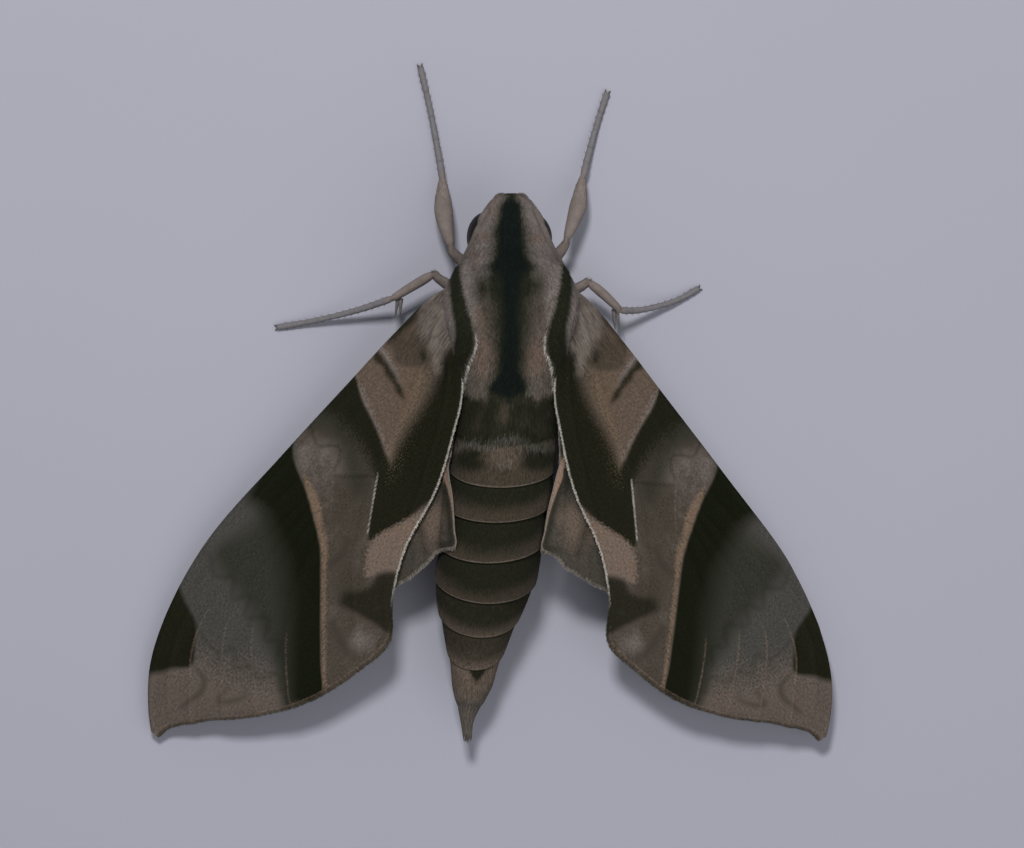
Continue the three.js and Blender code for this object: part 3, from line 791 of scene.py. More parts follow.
class CoatTree:
    """Geometry Nodes that strew locks over a skin, laid along its lie of coat, and the lock itself."""

    INPUTS: tuple[tuple[str, str, float], ...] = (
        ("Spacing", "NodeSocketFloat", 0.0003), ("Crowding", "NodeSocketFloat", 2.0e7),
        ("Length", "NodeSocketFloat", 0.0015), ("Width", "NodeSocketFloat", 0.0003),
        ("Thickness", "NodeSocketFloat", 0.00006), ("Lift", "NodeSocketFloat", 0.2), ("Stray", "NodeSocketFloat", 0.2),
        ("Seed", "NodeSocketInt", 1),
    )
    PATCH = 0.003

    def __init__(self) -> None:
        self.tree = bpy.data.node_groups.new("coat_of_scales", "GeometryNodeTree")
        face = self.tree.interface
        for name, kind in (("Geometry", "Geometry"), ("Lock", "Object"), ("Finish", "Material")):
            face.new_socket(name, in_out="INPUT", socket_type=f"NodeSocket{kind}")
        for name, kind, value in self.INPUTS:
            face.new_socket(name, in_out="INPUT", socket_type=kind).default_value = value
        face.new_socket("Geometry", in_out="OUTPUT", socket_type="NodeSocketGeometry")
        self.start = self.tree.nodes.new("NodeGroupInput")
        self.write()
        self.lock = HairScale().build()

    def add(self, kind: str, settings: dict, values: dict) -> bpy.types.Node:
        """Add a node; values are sockets, plain values or other nodes' outputs."""
        made = self.tree.nodes.new(kind)
        for key, value in settings.items():
            setattr(made, key, value)
        for key, value in values.items():
            entries = [s for s in made.inputs if s.enabled and key in (s.name, s.identifier)]
            entry = entries[0] if isinstance(key, str) else made.inputs[key]
            if isinstance(value, Link):
                self.tree.links.new(value, entry)
            else:
                entry.default_value = value
        return made

    def out(self, node: bpy.types.Node) -> Link:
        """The node's first live output."""
        return next(s for s in node.outputs if s.enabled)

    def named(self, name: str, kind: str) -> Link:
        """An attribute that the skin carries."""
        return self.out(self.add("GeometryNodeInputNamedAttribute", {"data_type": kind}, {"Name": name}))

    def vector(self, operation: str, *values: object) -> Link:
        """Vector maths."""
        return self.out(self.add("ShaderNodeVectorMath", {"operation": operation}, dict(enumerate(values))))

    def scaled(self, vector: Link, size: object) -> Link:
        """A vector made longer or shorter."""
        return self.out(self.add("ShaderNodeVectorMath", {"operation": "SCALE"}, {0: vector, 3: size}))

    def number(self, operation: str, *values: object) -> Link:
        """Plain maths."""
        return self.out(self.add("ShaderNodeMath", {"operation": operation}, dict(enumerate(values))))

    def chance(self, low: float, high: float, offset: int) -> Link:
        """A random number for each lock."""
        seed = self.number("ADD", self.start.outputs["Seed"], float(offset))
        return self.out(self.add("FunctionNodeRandomValue", {"data_type": "FLOAT"},
                                 {"Min": low, "Max": high, "Seed": seed}))

    def write(self) -> None:
        """Write the tree from Distribute Points to Set Material."""
        given = self.start.outputs
        strewn = self.add("GeometryNodeDistributePointsOnFaces", {"distribute_method": "POISSON"}, {
            "Mesh": given["Geometry"], "Distance Min": given["Spacing"], "Density Max": given["Crowding"],
            "Density Factor": self.named("crowd", "FLOAT"), "Seed": given["Seed"]})
        normal = strewn.outputs["Normal"]
        lie = self.named("lie", "FLOAT_VECTOR")
        across = self.vector("CROSS_PRODUCT", normal, lie)
        stray = self.number("MULTIPLY", self.chance(-1, 1, 11), given["Stray"])
        rise = self.number("ADD", self.number("MULTIPLY", self.chance(-0.5, 0.5, 12), given["Stray"]), given["Lift"])
        heading = self.vector("ADD", lie, self.scaled(across, stray))
        heading = self.vector("NORMALIZE", self.vector("ADD", heading, self.scaled(normal, rise)))
        turn = self.add("FunctionNodeAxesToRotation", {"primary_axis": "Z", "secondary_axis": "X"},
                        {"Primary Axis": heading, "Secondary Axis": normal})
        reach = self.number("MULTIPLY", self.number("MULTIPLY", given["Length"], self.chance(0.7, 1.25, 13)),
                            self.named("lock", "FLOAT"))
        size = self.add("ShaderNodeCombineXYZ", {}, {"X": given["Thickness"], "Y": given["Width"], "Z": reach})
        toned = self.add("GeometryNodeStoreNamedAttribute", {"data_type": "FLOAT", "domain": "POINT"},
                         {"Geometry": strewn.outputs["Points"], "Name": "tone", "Value": self.chance(-1, 1, 14)})
        lock = self.add("GeometryNodeObjectInfo", {}, {"Object": given["Lock"]})
        placed = self.add("GeometryNodeInstanceOnPoints", {}, {
            "Points": toned.outputs["Geometry"], "Instance": lock.outputs["Geometry"],
            "Rotation": turn.outputs["Rotation"], "Scale": size.outputs["Vector"]})
        real = self.add("GeometryNodeRealizeInstances", {}, {"Geometry": placed.outputs["Instances"]})
        patch = self.vector("ADD", self.named("root_uv", "FLOAT_VECTOR"),
                            self.scaled(self.named("local", "FLOAT_VECTOR"), self.PATCH))
        mapped = self.add("GeometryNodeStoreNamedAttribute", {"data_type": "FLOAT2", "domain": "CORNER"},
                          {"Geometry": real.outputs["Geometry"], "Name": "OFBake", "Value": patch})
        dressed = self.add("GeometryNodeSetMaterial", {},
                           {"Geometry": mapped.outputs["Geometry"], "Material": given["Finish"]})
        end = self.tree.nodes.new("NodeGroupOutput")
        self.tree.links.new(dressed.outputs["Geometry"], end.inputs["Geometry"])


@dataclass(frozen=True)
class Coat:
    """Sizes of one coat piece, in millimetres."""

    name: str
    length: float
    width: float
    spacing: float
    thickness: float = 0.05
    lift: float = 0.2
    stray: float = 0.22
    seed: int = 1

    CROWDING = 1.6e6  # locks tried per square metre, times the spacing squared

    def grow(self, skin: Thing, crowd: Array, tree: CoatTree, material: Material,
             lie: Array | None = None) -> Thing:
        """Strew the coat over a skin.

        Args:
            skin: object whose mesh has the lie, lock and marking attributes.
            crowd: how full the coat is at each vertex, from 0 to 1.
            tree: the Geometry Nodes that lay it.
            material: the finish.
            lie: the direction at each vertex, where it isn't the skin's own.
        Returns:
            The coat as a plain mesh object.
        """
        mesh = skin.data.copy()
        thing = linked(self.name, mesh)
        set_mark(mesh, "crowd", crowd)
        if lie is not None:
            set_mark(mesh, "lie", lie)
        uv = np.zeros(len(mesh.loops) * 2, np.float32)
        mesh.uv_layers["OFBake"].data.foreach_get("uv", uv)
        flat = np.concatenate([uv.reshape(-1, 2), np.zeros((len(mesh.loops), 1), np.float32)], 1)
        mark = mesh.attributes.new("root_uv", "FLOAT_VECTOR", "CORNER")
        mark.data.foreach_set("vector", flat.ravel())
        mesh.uv_layers.remove(mesh.uv_layers["OFBake"])
        laid = thing.modifiers.new("coat", "NODES")
        laid.node_group = tree.tree
        sizes = {"Lock": tree.lock, "Finish": material, "Spacing": self.spacing * MM,
                 "Crowding": self.CROWDING / self.spacing ** 2, "Length": self.length * MM, "Width": self.width * MM,
                 "Thickness": self.thickness * MM, "Lift": self.lift, "Stray": self.stray, "Seed": self.seed}
        for item in tree.tree.interface.items_tree:
            if item.in_out == "INPUT" and item.name in sizes:
                laid[item.identifier] = sizes[item.name]
        plain = bpy.data.meshes.new_from_object(thing.evaluated_get(bpy.context.evaluated_depsgraph_get()))
        thing.modifiers.clear()
        thing.data = plain
        plain.name = self.name
        bpy.data.meshes.remove(mesh)
        forget(plain, "crowd", "lie", "lock", "root_uv", "local")
        plain.shade_flat()
        LOG.info("%s: %d triangles", self.name, sum(len(p.vertices) - 2 for p in plain.polygons))
        return thing


def keep(piece: Thing, slot: str, nodes: Iterable[str] = ()) -> Thing:
    """Hand a finished piece to the frame."""
    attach(piece, "root")
    names = list(nodes)
    if names:
        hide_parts(*names)
    LOG.info("%s: %d vertices", piece.name, len(piece.data.vertices))
    return piece


def dress(piece: Thing, material: Material) -> Thing:
    """Give a piece one material."""
    piece.data.materials.clear()
    piece.data.materials.append(material)
    return piece


# ---------------- body


class Side(Enum):
    """The two sides of the moth; the value is the sign of X."""

    LEFT = -1
    RIGHT = 1

    @property
    def word(self) -> str:
        """The side's name in pieces and nodes."""
        return self.name.lower()


@dataclass
class Body:
    """Head, thorax and abdomen as one skin, and the coat over it."""

    outline: Rows = (
        (11.66, 0, 8.5, 0.75, 0.9), (11.5, 0, 8.5, 1.5, 1.65), (11.1, 0, 8.35, 2.05, 2.35), (10.3, 0, 8.25, 2.75, 3.1),
        (9.2, -0.04, 8.6, 3.36, 3.8), (7.6, -0.08, 8.9, 4.08, 4.2), (5.8, -0.04, 8.95, 4.72, 4.35),
        (4.4, 0, 9.25, 5.2, 5.3), (3, 0, 9.5, 5.5, 5.9), (0.8, 0, 9.75, 5.95, 6.5), (-1.8, 0, 9.85, 6.25, 6.75),
        (-4.8, -0.05, 9.8, 6.05, 6.5), (-7.8, -0.15, 9.55, 5.75, 6.1), (-9.9, -0.3, 9.4, 5.58, 5.85),
        (-15, -0.6, 9.3, 5.7, 6), (-21, -1.2, 8.9, 5.75, 6), (-27, -2.15, 8.1, 5.75, 5.7),
        (-31.5, -2.9, 7.35, 5.45, 5.1), (-35.5, -3.5, 6.65, 4.2, 4), (-40, -4, 5.85, 2.8, 2.85),
        (-42.5, -4.27, 5.45, 2.24, 2.3), (-43.6, -4.43, 5.25, 1.84, 1.9), (-44.4, -4.53, 5.15, 1.48, 1.5),
        (-45.1, -4.67, 5.05, 1.18, 1.1), (-46.4, -4.84, 4.85, 0.76, 0.7), (-47.9, -4.82, 4.6, 0.55, 0.48),
    )
    lean: Rows = (
        (11.7, 0, 0), (5.7, 0, 0), (3, 4, 0), (-9.9, 10, 0), (-14.2, 15, 0), (-18.6, 18, 0), (-22.2, 20, 0),
        (-26.3, 24, 0), (-30.6, 29, 0.09), (-34.8, 31, 0.09), (-39, 31, 0.04), (-44.7, 0, 0), (-48.3, 0, 0),
    )
    coat_depth: Rows = (
        (11.66, 0.1), (8, 0.16), (5, 0.2), (-8, 0.24), (-12, 0.2), (-18, 0.11), (-40, 0.1), (-45.5, 0.08),
        (-48.4, 0.06),
    )
    rings: tuple[float, ...] = (-9.9, -14.2, -18.6, -22.2, -26.3, -30.6, -34.8, -39.0, -44.6)
    ring_step: float = 0.34
    ring_rows: tuple[float, ...] = (
        0.002, 0.01, 0.03, 0.07, 0.14, 0.23, 0.33, 0.43, 0.53, 0.63, 0.72, 0.80, 0.86, 0.905, 0.935, 0.950, 0.960,
        0.970, 0.982, 0.992,
    )
    tegula: Rows = (
        (4.3, 12, 24, 0.5), (3, 2, 32, 0.9), (0.8, 0, 42, 1.5), (-1.8, 6, 56, 1.6), (-4, 12, 60, 1.35),
        (-5.6, 15, 53, 1.05), (-7.2, 15, 41, 0.75), (-8.9, 13, 28, 0.4),
    )
    stripe: Rows = (
        (11.4, -0.5, 0.5), (11, -0.1, 0.5), (10.5, 0.7, 0.4), (9.9, 1, 0.3), (8.75, 1.05, 0.3), (7.45, 1.35, 0.35),
        (6.5, 1.25, 0.4), (5.5, 1.35, 0.4), (4.6, 1.6, 0.5), (3.95, 1.9, 0.5), (3.5, 2, 0.6), (2.95, 1.6, 0.6),
        (2.2, 1.15, 0.5), (1.1, 1.1, 0.5), (0, 1, 0.5), (-1.7, 0.85, 0.5), (-3.3, 0.85, 0.5), (-4.9, 0.9, 0.45),
        (-6.6, 0.95, 0.45), (-8, 1.1, 0.45), (-9, 1.7, 0.5), (-9.9, 1.8, 0.5), (-10.6, 0.2, 0.8),
    )
    halo: Rows = (
        (11.4, 0.9, 0.8), (11, 0.95, 0.85), (9.9, 1.45, 0.75), (8.75, 1.6, 0.8), (7.45, 2.05, 1), (6.5, 2.15, 1),
        (5.5, 2.2, 1), (4.6, 2.2, 0.9), (3.95, 2.6, 0.8), (3.5, 2.95, 0.85), (2.95, 2.7, 0.9), (2.2, 2.9, 1),
        (1.1, 3.1, 1.1), (0, 2.7, 1.4), (-1.7, 2.5, 1.6), (-3.3, 2.25, 1.4), (-4.9, 2, 1.1), (-6.6, 1.85, 1),
        (-8.2, 1.8, 0.9), (-9.6, 2.4, 0.7), (-10.6, 2.4, 0.7),
    )
    shoulder: Rows = (
        (5.2, 5.1, 6), (3.4, 5.5, 6.65), (2, 5.35, 6.8), (-0.6, 4.75, 6.6), (-3.2, 4.05, 6.2), (-5.6, 4, 6.4),
        (-7.2, 4.7, 6.6), (-8.9, 5.2, 6.6),
    )
    dark_spots: Rows = ((-3.1, 1.2, 0.75, 1.7), (2.7, 1.4, 0.7, 1.7), (-2.75, -0.9, 0.2, 3), (3.1, -1.1, 0.2, 3))
    rosy_spots: Rows = (
        (-3, -6.2, 1.3, 1.6), (2.8, -6.3, 1.1, 1.7), (-3, 6.7, 0.8, 0.5), (3, 6.6, 0.8, 0.5), (-2.2, 9.8, 0.5, 1.6),
        (-3.2, -2, 0.5, 2), (3.15, -1.6, 0.25, 4), (-3.9, 4.9, 0.5, 1),
    )
    around: int = 132
    neck: float = 5.0
    rows: tuple[int, int, int] = (52, 66, 22)
    coat_borders: tuple[float, float, float, float] = (4.6, -3.0, -10.6, -26.0)
    coat_length: Rows = (
        (11.2, 0.6), (9.5, 0.8), (7.5, 0.9), (6.2, 0.9), (4.6, 0.9), (0, 0.8), (-6, 0.85), (-8.5, 1), (-10.4, 1),
        (-12, 1.4), (-14.5, 1.6), (-17.5, 1), (-42, 0.95), (-44.5, 1.3), (-48, 2),
    )

    def stations(self) -> Array:
        """Places of the skin's rows from front to back, crowded at each segment's hind edge."""
        edges, front, back = np.array(self.rings), self.outline[0][0], self.outline[-1][0]
        head, thorax, tail = self.rows
        inner = [edges[k] + (edges[k + 1] - edges[k]) * np.array(self.ring_rows) for k in range(len(edges) - 1)]
        return np.concatenate([np.linspace(front, self.neck, head, endpoint=False),
                               np.linspace(self.neck, edges[0], thorax, endpoint=False),
                               *inner, np.linspace(edges[-1], back, tail)])

    def surface(self) -> tuple[Array, Array, Array]:
        """Points of the outline at the coat's outer surface, whose rows lean back with the rings.

        Returns:
            Points (rows, around, 3), their y stations and their angles from the right side upwards.
        """
        shape = Profile(self.outline)
        angle = np.linspace(-np.pi / 2, 1.5 * np.pi, self.around, endpoint=False)
        level, angle = np.meshgrid(self.stations(), angle, indexing="ij")
        y = level.copy()
        for _ in range(6):
            y = level - self.set_back(level, shape(y), angle)
        form = shape(y)
        out = self.tegula_rise(y, angle) + self.ring_rise(y, angle)
        points = np.stack([form[..., 0] + (form[..., 2] + out) * np.cos(angle), y,
                           form[..., 1] + (form[..., 3] + out) * np.sin(angle)], -1)
        return points, y, angle

    def set_back(self, level: Array, form: Array, angle: Array) -> Array:
        """How far behind its level a point lies, as the rings lean back and turn."""
        tilt, turn = np.moveaxis(Profile(self.lean)(level), -1, 0)
        return np.tan(np.radians(tilt)) * form[..., 3] * np.sin(angle) + turn * form[..., 2] * np.cos(angle)

    def tegula_rise(self, y: Array, angle: Array) -> Array:
        """How far the shoulder covers stand above the thorax."""
        lower, upper, thick = np.moveaxis(Profile(self.tegula)(y), -1, 0)
        from_side = np.degrees(np.where(np.cos(angle) > 0, angle, np.pi - angle))
        t = (from_side - lower) / (upper - lower)
        rise = 0.25 + (0.3 + 0.7 * np.sin(np.pi * np.clip(t, 0, 1))) * thick
        ends = ease(y, -9.4, -8.3) * (1 - ease(y, 3.6, 4.5))
        return rise * ease(t, -0.1, 0.12) * (1 - ease(t, 0.9, 1.08)) * ends

    def ring_phase(self, y: Array, angle: Array) -> tuple[Array, Array]:
        """Place within the abdominal segment, 0 at its front and 1 at its hind edge, and its number."""
        form, level = Profile(self.outline)(y), y
        for _ in range(8):
            level = y + self.set_back(level, form, angle)
        edges = np.array(self.rings)
        number = np.clip(np.searchsorted(-edges, -level, side="right") - 1, 0, len(edges) - 2)
        phase = (edges[number] - level) / (edges[number] - edges[number + 1])
        return np.clip(phase, 0, 1), number

    def ring_rise(self, y: Array, angle: Array) -> Array:
        """Each segment flares a little over the one behind it."""
        phase, number = self.ring_phase(y, angle)
        size = self.ring_step * np.minimum(1.0, Profile(self.outline)(y)[..., 3] / 5)
        size = np.where(number < 2, 0.10, size)
        flare = size * (phase - 0.5) - 0.07 * ease(phase, 0.95, 1.0) - 0.06 * (1 - ease(phase, 0.0, 0.05))
        return flare * (1 - ease(y, -14.0, -11.5)) * ease(y, -44.8, -44.0)

    def band(self, rows: Rows, aside: Array, y: Array) -> Array:
        """Depth inside a lengthwise band given by rows of (y, half width, softness)."""
        half, soft = np.moveaxis(Profile(rows)(y), -1, 0)
        return (half - aside) / soft

    def blots(self, spots: Sequence[Sequence[float]], x: Array, y: Array, soft: float) -> Array:
        """Depth inside the nearest of some round spots of (x, y, radius, length over width)."""
        return np.max([(size - np.hypot(x - sx, (y - sy) / tall)) / soft for sx, sy, size, tall in spots], axis=0)

    def fields(self, points: Array, y: Array, angle: Array) -> dict[str, Array]:
        """Markings of the coat: each is a depth inside a marking over its edge's softness."""
        x = points[..., 0] - Profile(self.outline)(y)[..., 0]
        aside, top = np.abs(x), np.sin(angle)
        thorax = np.where((top > 0.1) & (y > -11.5), 0.0, -9.0)
        inner, outer = np.moveaxis(Profile(self.shoulder)(y), -1, 0)
        shoulder = np.minimum(aside - inner, outer - aside) / 0.30
        shoulder = np.min([shoulder, (5.4 - y) / 1.6, (y + 9.2) / 0.3, (points[..., 2] - 9.7) / 0.5], axis=0)
        rim = np.min([(-4.0 - y) / 0.9, (y + 9.8) / 0.3], axis=0)
        marks = {
            "stripe": self.band(self.stripe, aside, y) + thorax,
            "mottle": np.maximum(self.band(self.halo, aside, y), self.blots(self.dark_spots, x, y, 0.9)) + thorax,
            "rosy": self.blots(self.rosy_spots, x, y, 0.7) + thorax,
            "pale_zone": np.max([(y - 2.6) / 2.2, (aside - 3.7) / 0.9 - 3 * ease(-y, 2.5, 4.5), (aside - 5.0) / 0.6],
                                axis=0),
            "shoulder": shoulder, "rim": rim + thorax,
        }
        marks |= self.abdomen_fields(x, y, top, *self.ring_phase(y, angle))
        rim_side = np.clip(aside - (inner - 0.22), -2, 2)
        return {key: held(value) for key, value in marks.items()} | {"rim_side": rim_side}

    def abdomen_fields(self, x: Array, y: Array, top: Array, phase: Array, number: Array) -> dict[str, Array]:
        """Markings of the abdomen: dark segments with pinkish hind parts and pale hind edges.

        Args:
            x: place beside the body's middle line.
            y: place along the body.
            top: height on the body from -1 to 1.
            phase: place within the segment.
            number: the segment's number.
        Returns:
            The fields of the markings.
        """
        abdomen = -(y + 10.1 + 0.8 * top + 0.22 * np.sin(1.9 * x + 0.8) + 0.16 * np.sin(4.3 * x)) / 0.5
        belly = (-0.15 - top) / 0.18
        upper = np.minimum(abdomen, 0.5 - belly)
        flank = 0.35 * (x / 5.6) ** 2
        depth = np.array([1.9, 0.0, 1.35, 1.2, 1.0, 0.6, 0.1, -4.0])[number]
        ends = np.array([0.8, 0.8, 0.60, 0.73, 0.75, 0.71, 0.62, 0.8])[number]
        dark = np.minimum(depth, (ends - 0.5 * flank - phase) / 0.24)
        smear = np.exp(-((x + 0.3) / 1.0) ** 2 - ((y + 12.0) / 1.9) ** 2)
        smear += 0.45 * np.exp(-((np.abs(x + 0.1) - 3.2) / 1.2) ** 2 - ((y + 13.2) / 0.8) ** 2)
        clouds = 0.5 * np.sin(1.7 * x + 1.1 * y + 0.6) * np.sin(1.9 * y - 0.8 * x)
        dark = np.where(number == 0, 1.05 - 1.5 * smear + clouds, dark)
        patches = self.blots(((-3.5, -17.2, 1.9, 0.6), (3.8, -17.1, 2.0, 0.6), (0.0, -14.6, 5.5, 0.09)), x, y, 0.9)
        dark = np.where(number == 1, np.minimum(patches + 0.3, (0.86 - phase) / 0.12), dark)
        spot = np.minimum((1.15 - 0.8 * (-40.4 - y)) - np.abs(x - 0.45), (-39.6 - y) * 2) / 0.35
        dark = np.where(number >= 7, np.where(y > -42.5, spot, -4), dark)
        disc = self.blots(((-0.1, -16.9, 2.1, 0.6),), x, y, 0.9)
        below = self.blots(((0.0, -18.0, 1.3, 0.7),), x, y, 0.8)
        line = np.where((number >= 1) & (number < 7), (phase - 0.948) / 0.014, -4)
        line = line - 1.2 * ease(np.abs(number - 4), 0.5, 0.0) * np.exp(-(x / 0.5) ** 2)
        veil = (0.38 - np.abs(y + 15.35 - 0.35 * np.sin(1.2 * x + 0.6) + 0.03 * x * x)) / 0.55
        tufts = 1.6 * self.blots(((-2.6, -10.0, 0.22, 1.6), (2.5, -9.9, 0.45, 1.2)), x, y, 0.30)
        lighter = np.array([-4, -4, -4, -4, -3, -0.6, 0.0, 4.0])[number]
        lighter = lighter + np.where(number < 7, 1.3 * (phase - 0.5), 0)
        return {
            "belly": np.maximum(belly, np.where(y > -10, (-0.05 - top) / 0.25, -4)),
            "ring_pink": upper, "ring_dark": np.minimum(dark, upper), "tail": np.minimum(lighter, upper),
            "disc": np.where(number == 1, disc, -4),
            "tuft": (-43.6 - y) / 0.9, "ring_line": np.minimum(line, upper),
            "haze": np.maximum(tufts, np.where(top > 0.1, np.maximum(veil - 0.2, below - 1.0), -4)),
        }

    def build(self, tree: CoatTree, material: Material) -> None:
        """Make the skin and its coat pieces."""
        points, y, angle = self.surface()
        depth = Profile(self.coat_depth)(y)
        du = np.roll(points, -1, 1) - np.roll(points, 1, 1)
        dv = np.gradient(points, axis=0)
        normal = unit(np.cross(du, -dv))
        normal *= np.sign(np.sum(normal * (points - points.mean(1, keepdims=True)), -1).mean())
        skin_points = points - normal * depth[..., None]
        back = unit(dv)
        forward = ease(y, 6.0, 7.2)
        swirl = np.stack([np.cos(angle), np.zeros_like(y), np.sin(angle)], -1)
        swirl = swirl - normal * np.sum(swirl * normal, -1, keepdims=True)
        lie = unit(back * (1 - 2 * forward)[..., None] + 0.25 * swirl * (1 - np.abs(1 - 2 * forward))[..., None])
        length = Profile(self.coat_length)(y)
        phase, number = self.ring_phase(y, angle)
        bare = (number >= 1) & (number < 7) & ((phase > 0.93) | (phase < 0.03))
        length = length * np.where((number >= 1) & (number < 7), 1 - 0.6 * ease(phase, 0.78, 0.92), 1)
        marks = self.fields(points, y, angle)
        marks |= {"root": points, "lie": lie, "lock": length, "bare": bare * 1.0}
        surface = Surface(skin_points, grid_uv(len(y), self.around + 1), wrap=True, marks=marks)
        skin = dress(surface.build("body_skin"), material)
        at = get_mark(skin.data, "root")[:, 1]
        clear = self.clear_of_eyes(get_mark(skin.data, "root"))
        open_edge = 1 - np.clip(get_mark(skin.data, "bare"), 0, 1)
        collar, middle, waist, belt = self.coat_borders
        shaggy, sleek = {"lift": 0.26, "stray": 0.45}, {"lift": 0.06, "stray": 0.14}
        regions = (
            (Coat("coat_head", 0.44, 0.10, 0.118, 0.035, **shaggy, seed=3), "head_coat", (at > collar) * clear),
            (Coat("coat_thorax_front", 0.50, 0.11, 0.135, 0.04, **shaggy, seed=5), "thorax_coat",
             (at <= collar) & (at > middle)),
            (Coat("coat_thorax_rear", 0.52, 0.11, 0.135, 0.04, **shaggy, seed=6), "thorax_coat",
             (at <= middle) & (at > waist)),
            (Coat("coat_abdomen_front", 0.50, 0.11, 0.155, 0.03, **sleek, seed=7), "abdomen_coat",
             (at <= waist) * (at > belt) * open_edge),
            (Coat("coat_abdomen_rear", 0.46, 0.10, 0.140, 0.03, **sleek, seed=9), "abdomen_coat",
             (at <= belt) * open_edge),
        )
        nodes = ["head", "collar", "thorax", "tail_tuft", "tegula_left", "tegula_right"]
        nodes += [f"abdomen_{i}" for i in range(1, 9)]
        for coat, slot, crowd in regions:
            keep(coat.grow(skin, crowd * 1.0, tree, material), slot)
        forget(skin.data, "lie", "lock", "bare")
        keep(skin, "thorax_coat", nodes)

    def clear_of_eyes(self, roots: Array) -> Array:
        """0 where a lock would hang over an eye, 1 elsewhere."""
        crowd = np.ones(len(roots))
        for side in Side:
            centre, size = Eye.of(side)
            gap = np.linalg.norm((roots - centre) / (size + 0.02), axis=1)
            crowd = np.minimum(crowd, (gap > 1).astype(float))
        return crowd


@dataclass
class Eye:
    """Compound eye, a long ball sunk in the head; the head is rolled a little, so the left shows more."""

    size: Spot = (2.2, 2.85, 2.4)
    centre: Rows = ((-2.64, 6.8, 8.3), (2.3, 6.65, 8.3))
    rows: int = 40
    cols: int = 64

    @classmethod
    def of(cls, side: Side) -> tuple[Array, Array]:
        """Centre and half sizes of the eye on one side."""
        return np.array(cls.centre[side is Side.RIGHT]), np.array(cls.size)

    def build(self, side: Side, material: Material) -> None:
        """Make the ball with its poles fore and aft."""
        centre, size = self.of(side)
        polar = np.linspace(0.02, np.pi - 0.02, self.rows)
        turn = np.linspace(0, 2 * np.pi, self.cols, endpoint=False)
        p, t = np.meshgrid(polar, turn, indexing="ij")
        points = np.stack([np.sin(p) * np.cos(t), np.cos(p), np.sin(p) * np.sin(t)], -1) * size + centre
        surface = Surface(points, grid_uv(self.rows, self.cols + 1), wrap=True, marks={"root": points})
        keep(dress(surface.build(f"eye_{side.word}_ball"), material), "eye", [f"eye_{side.word}"])


# ---------------- wings


@dataclass(frozen=True)
class WingPose:
    """How one side's wings are spread: where they hinge and how far they reach."""

    side: Side
    angle: float
    reach: float
    costa_depth: float
    hind_depth: float
    lift: float
    lobe: Rows
    strip: Rows
    root: tuple[float, float] = (5.5, -1.5)


POSES = (
    WingPose(
        Side.LEFT, 35.84, 57.84, 1, 1, 0,
        (
            (14.4, 8.8), (15.2, 9.5), (16.5, 10.85), (18, 12.15), (19.4, 13.3), (20.9, 14.45), (21.5, 13.95),
            (22.3, 13.25), (23.7, 13.05), (25.4, 12.85),
        ),
        ((12, 0.5), (14.4, 0.62), (16, 0.55), (17.2, 0.26), (20.9, 0.12)),
    ),
    WingPose(
        Side.RIGHT, 31.38, 55.27, 0.89, 0.975, 1.7,
        (
            (13.9, 8.75), (14.7, 9.6), (16.3, 11.2), (17.7, 12.6), (19.3, 13.95), (20.9, 15.25), (21.5, 14.8),
            (22.2, 14.3), (23.7, 14.05), (25.3, 13.4),
        ),
        ((12, 0.6), (14.2, 0.65), (15.3, 0.9), (16.4, 0.6), (17.8, 0.32), (19.5, 0.15), (20.9, 0.12)),
    ),
)


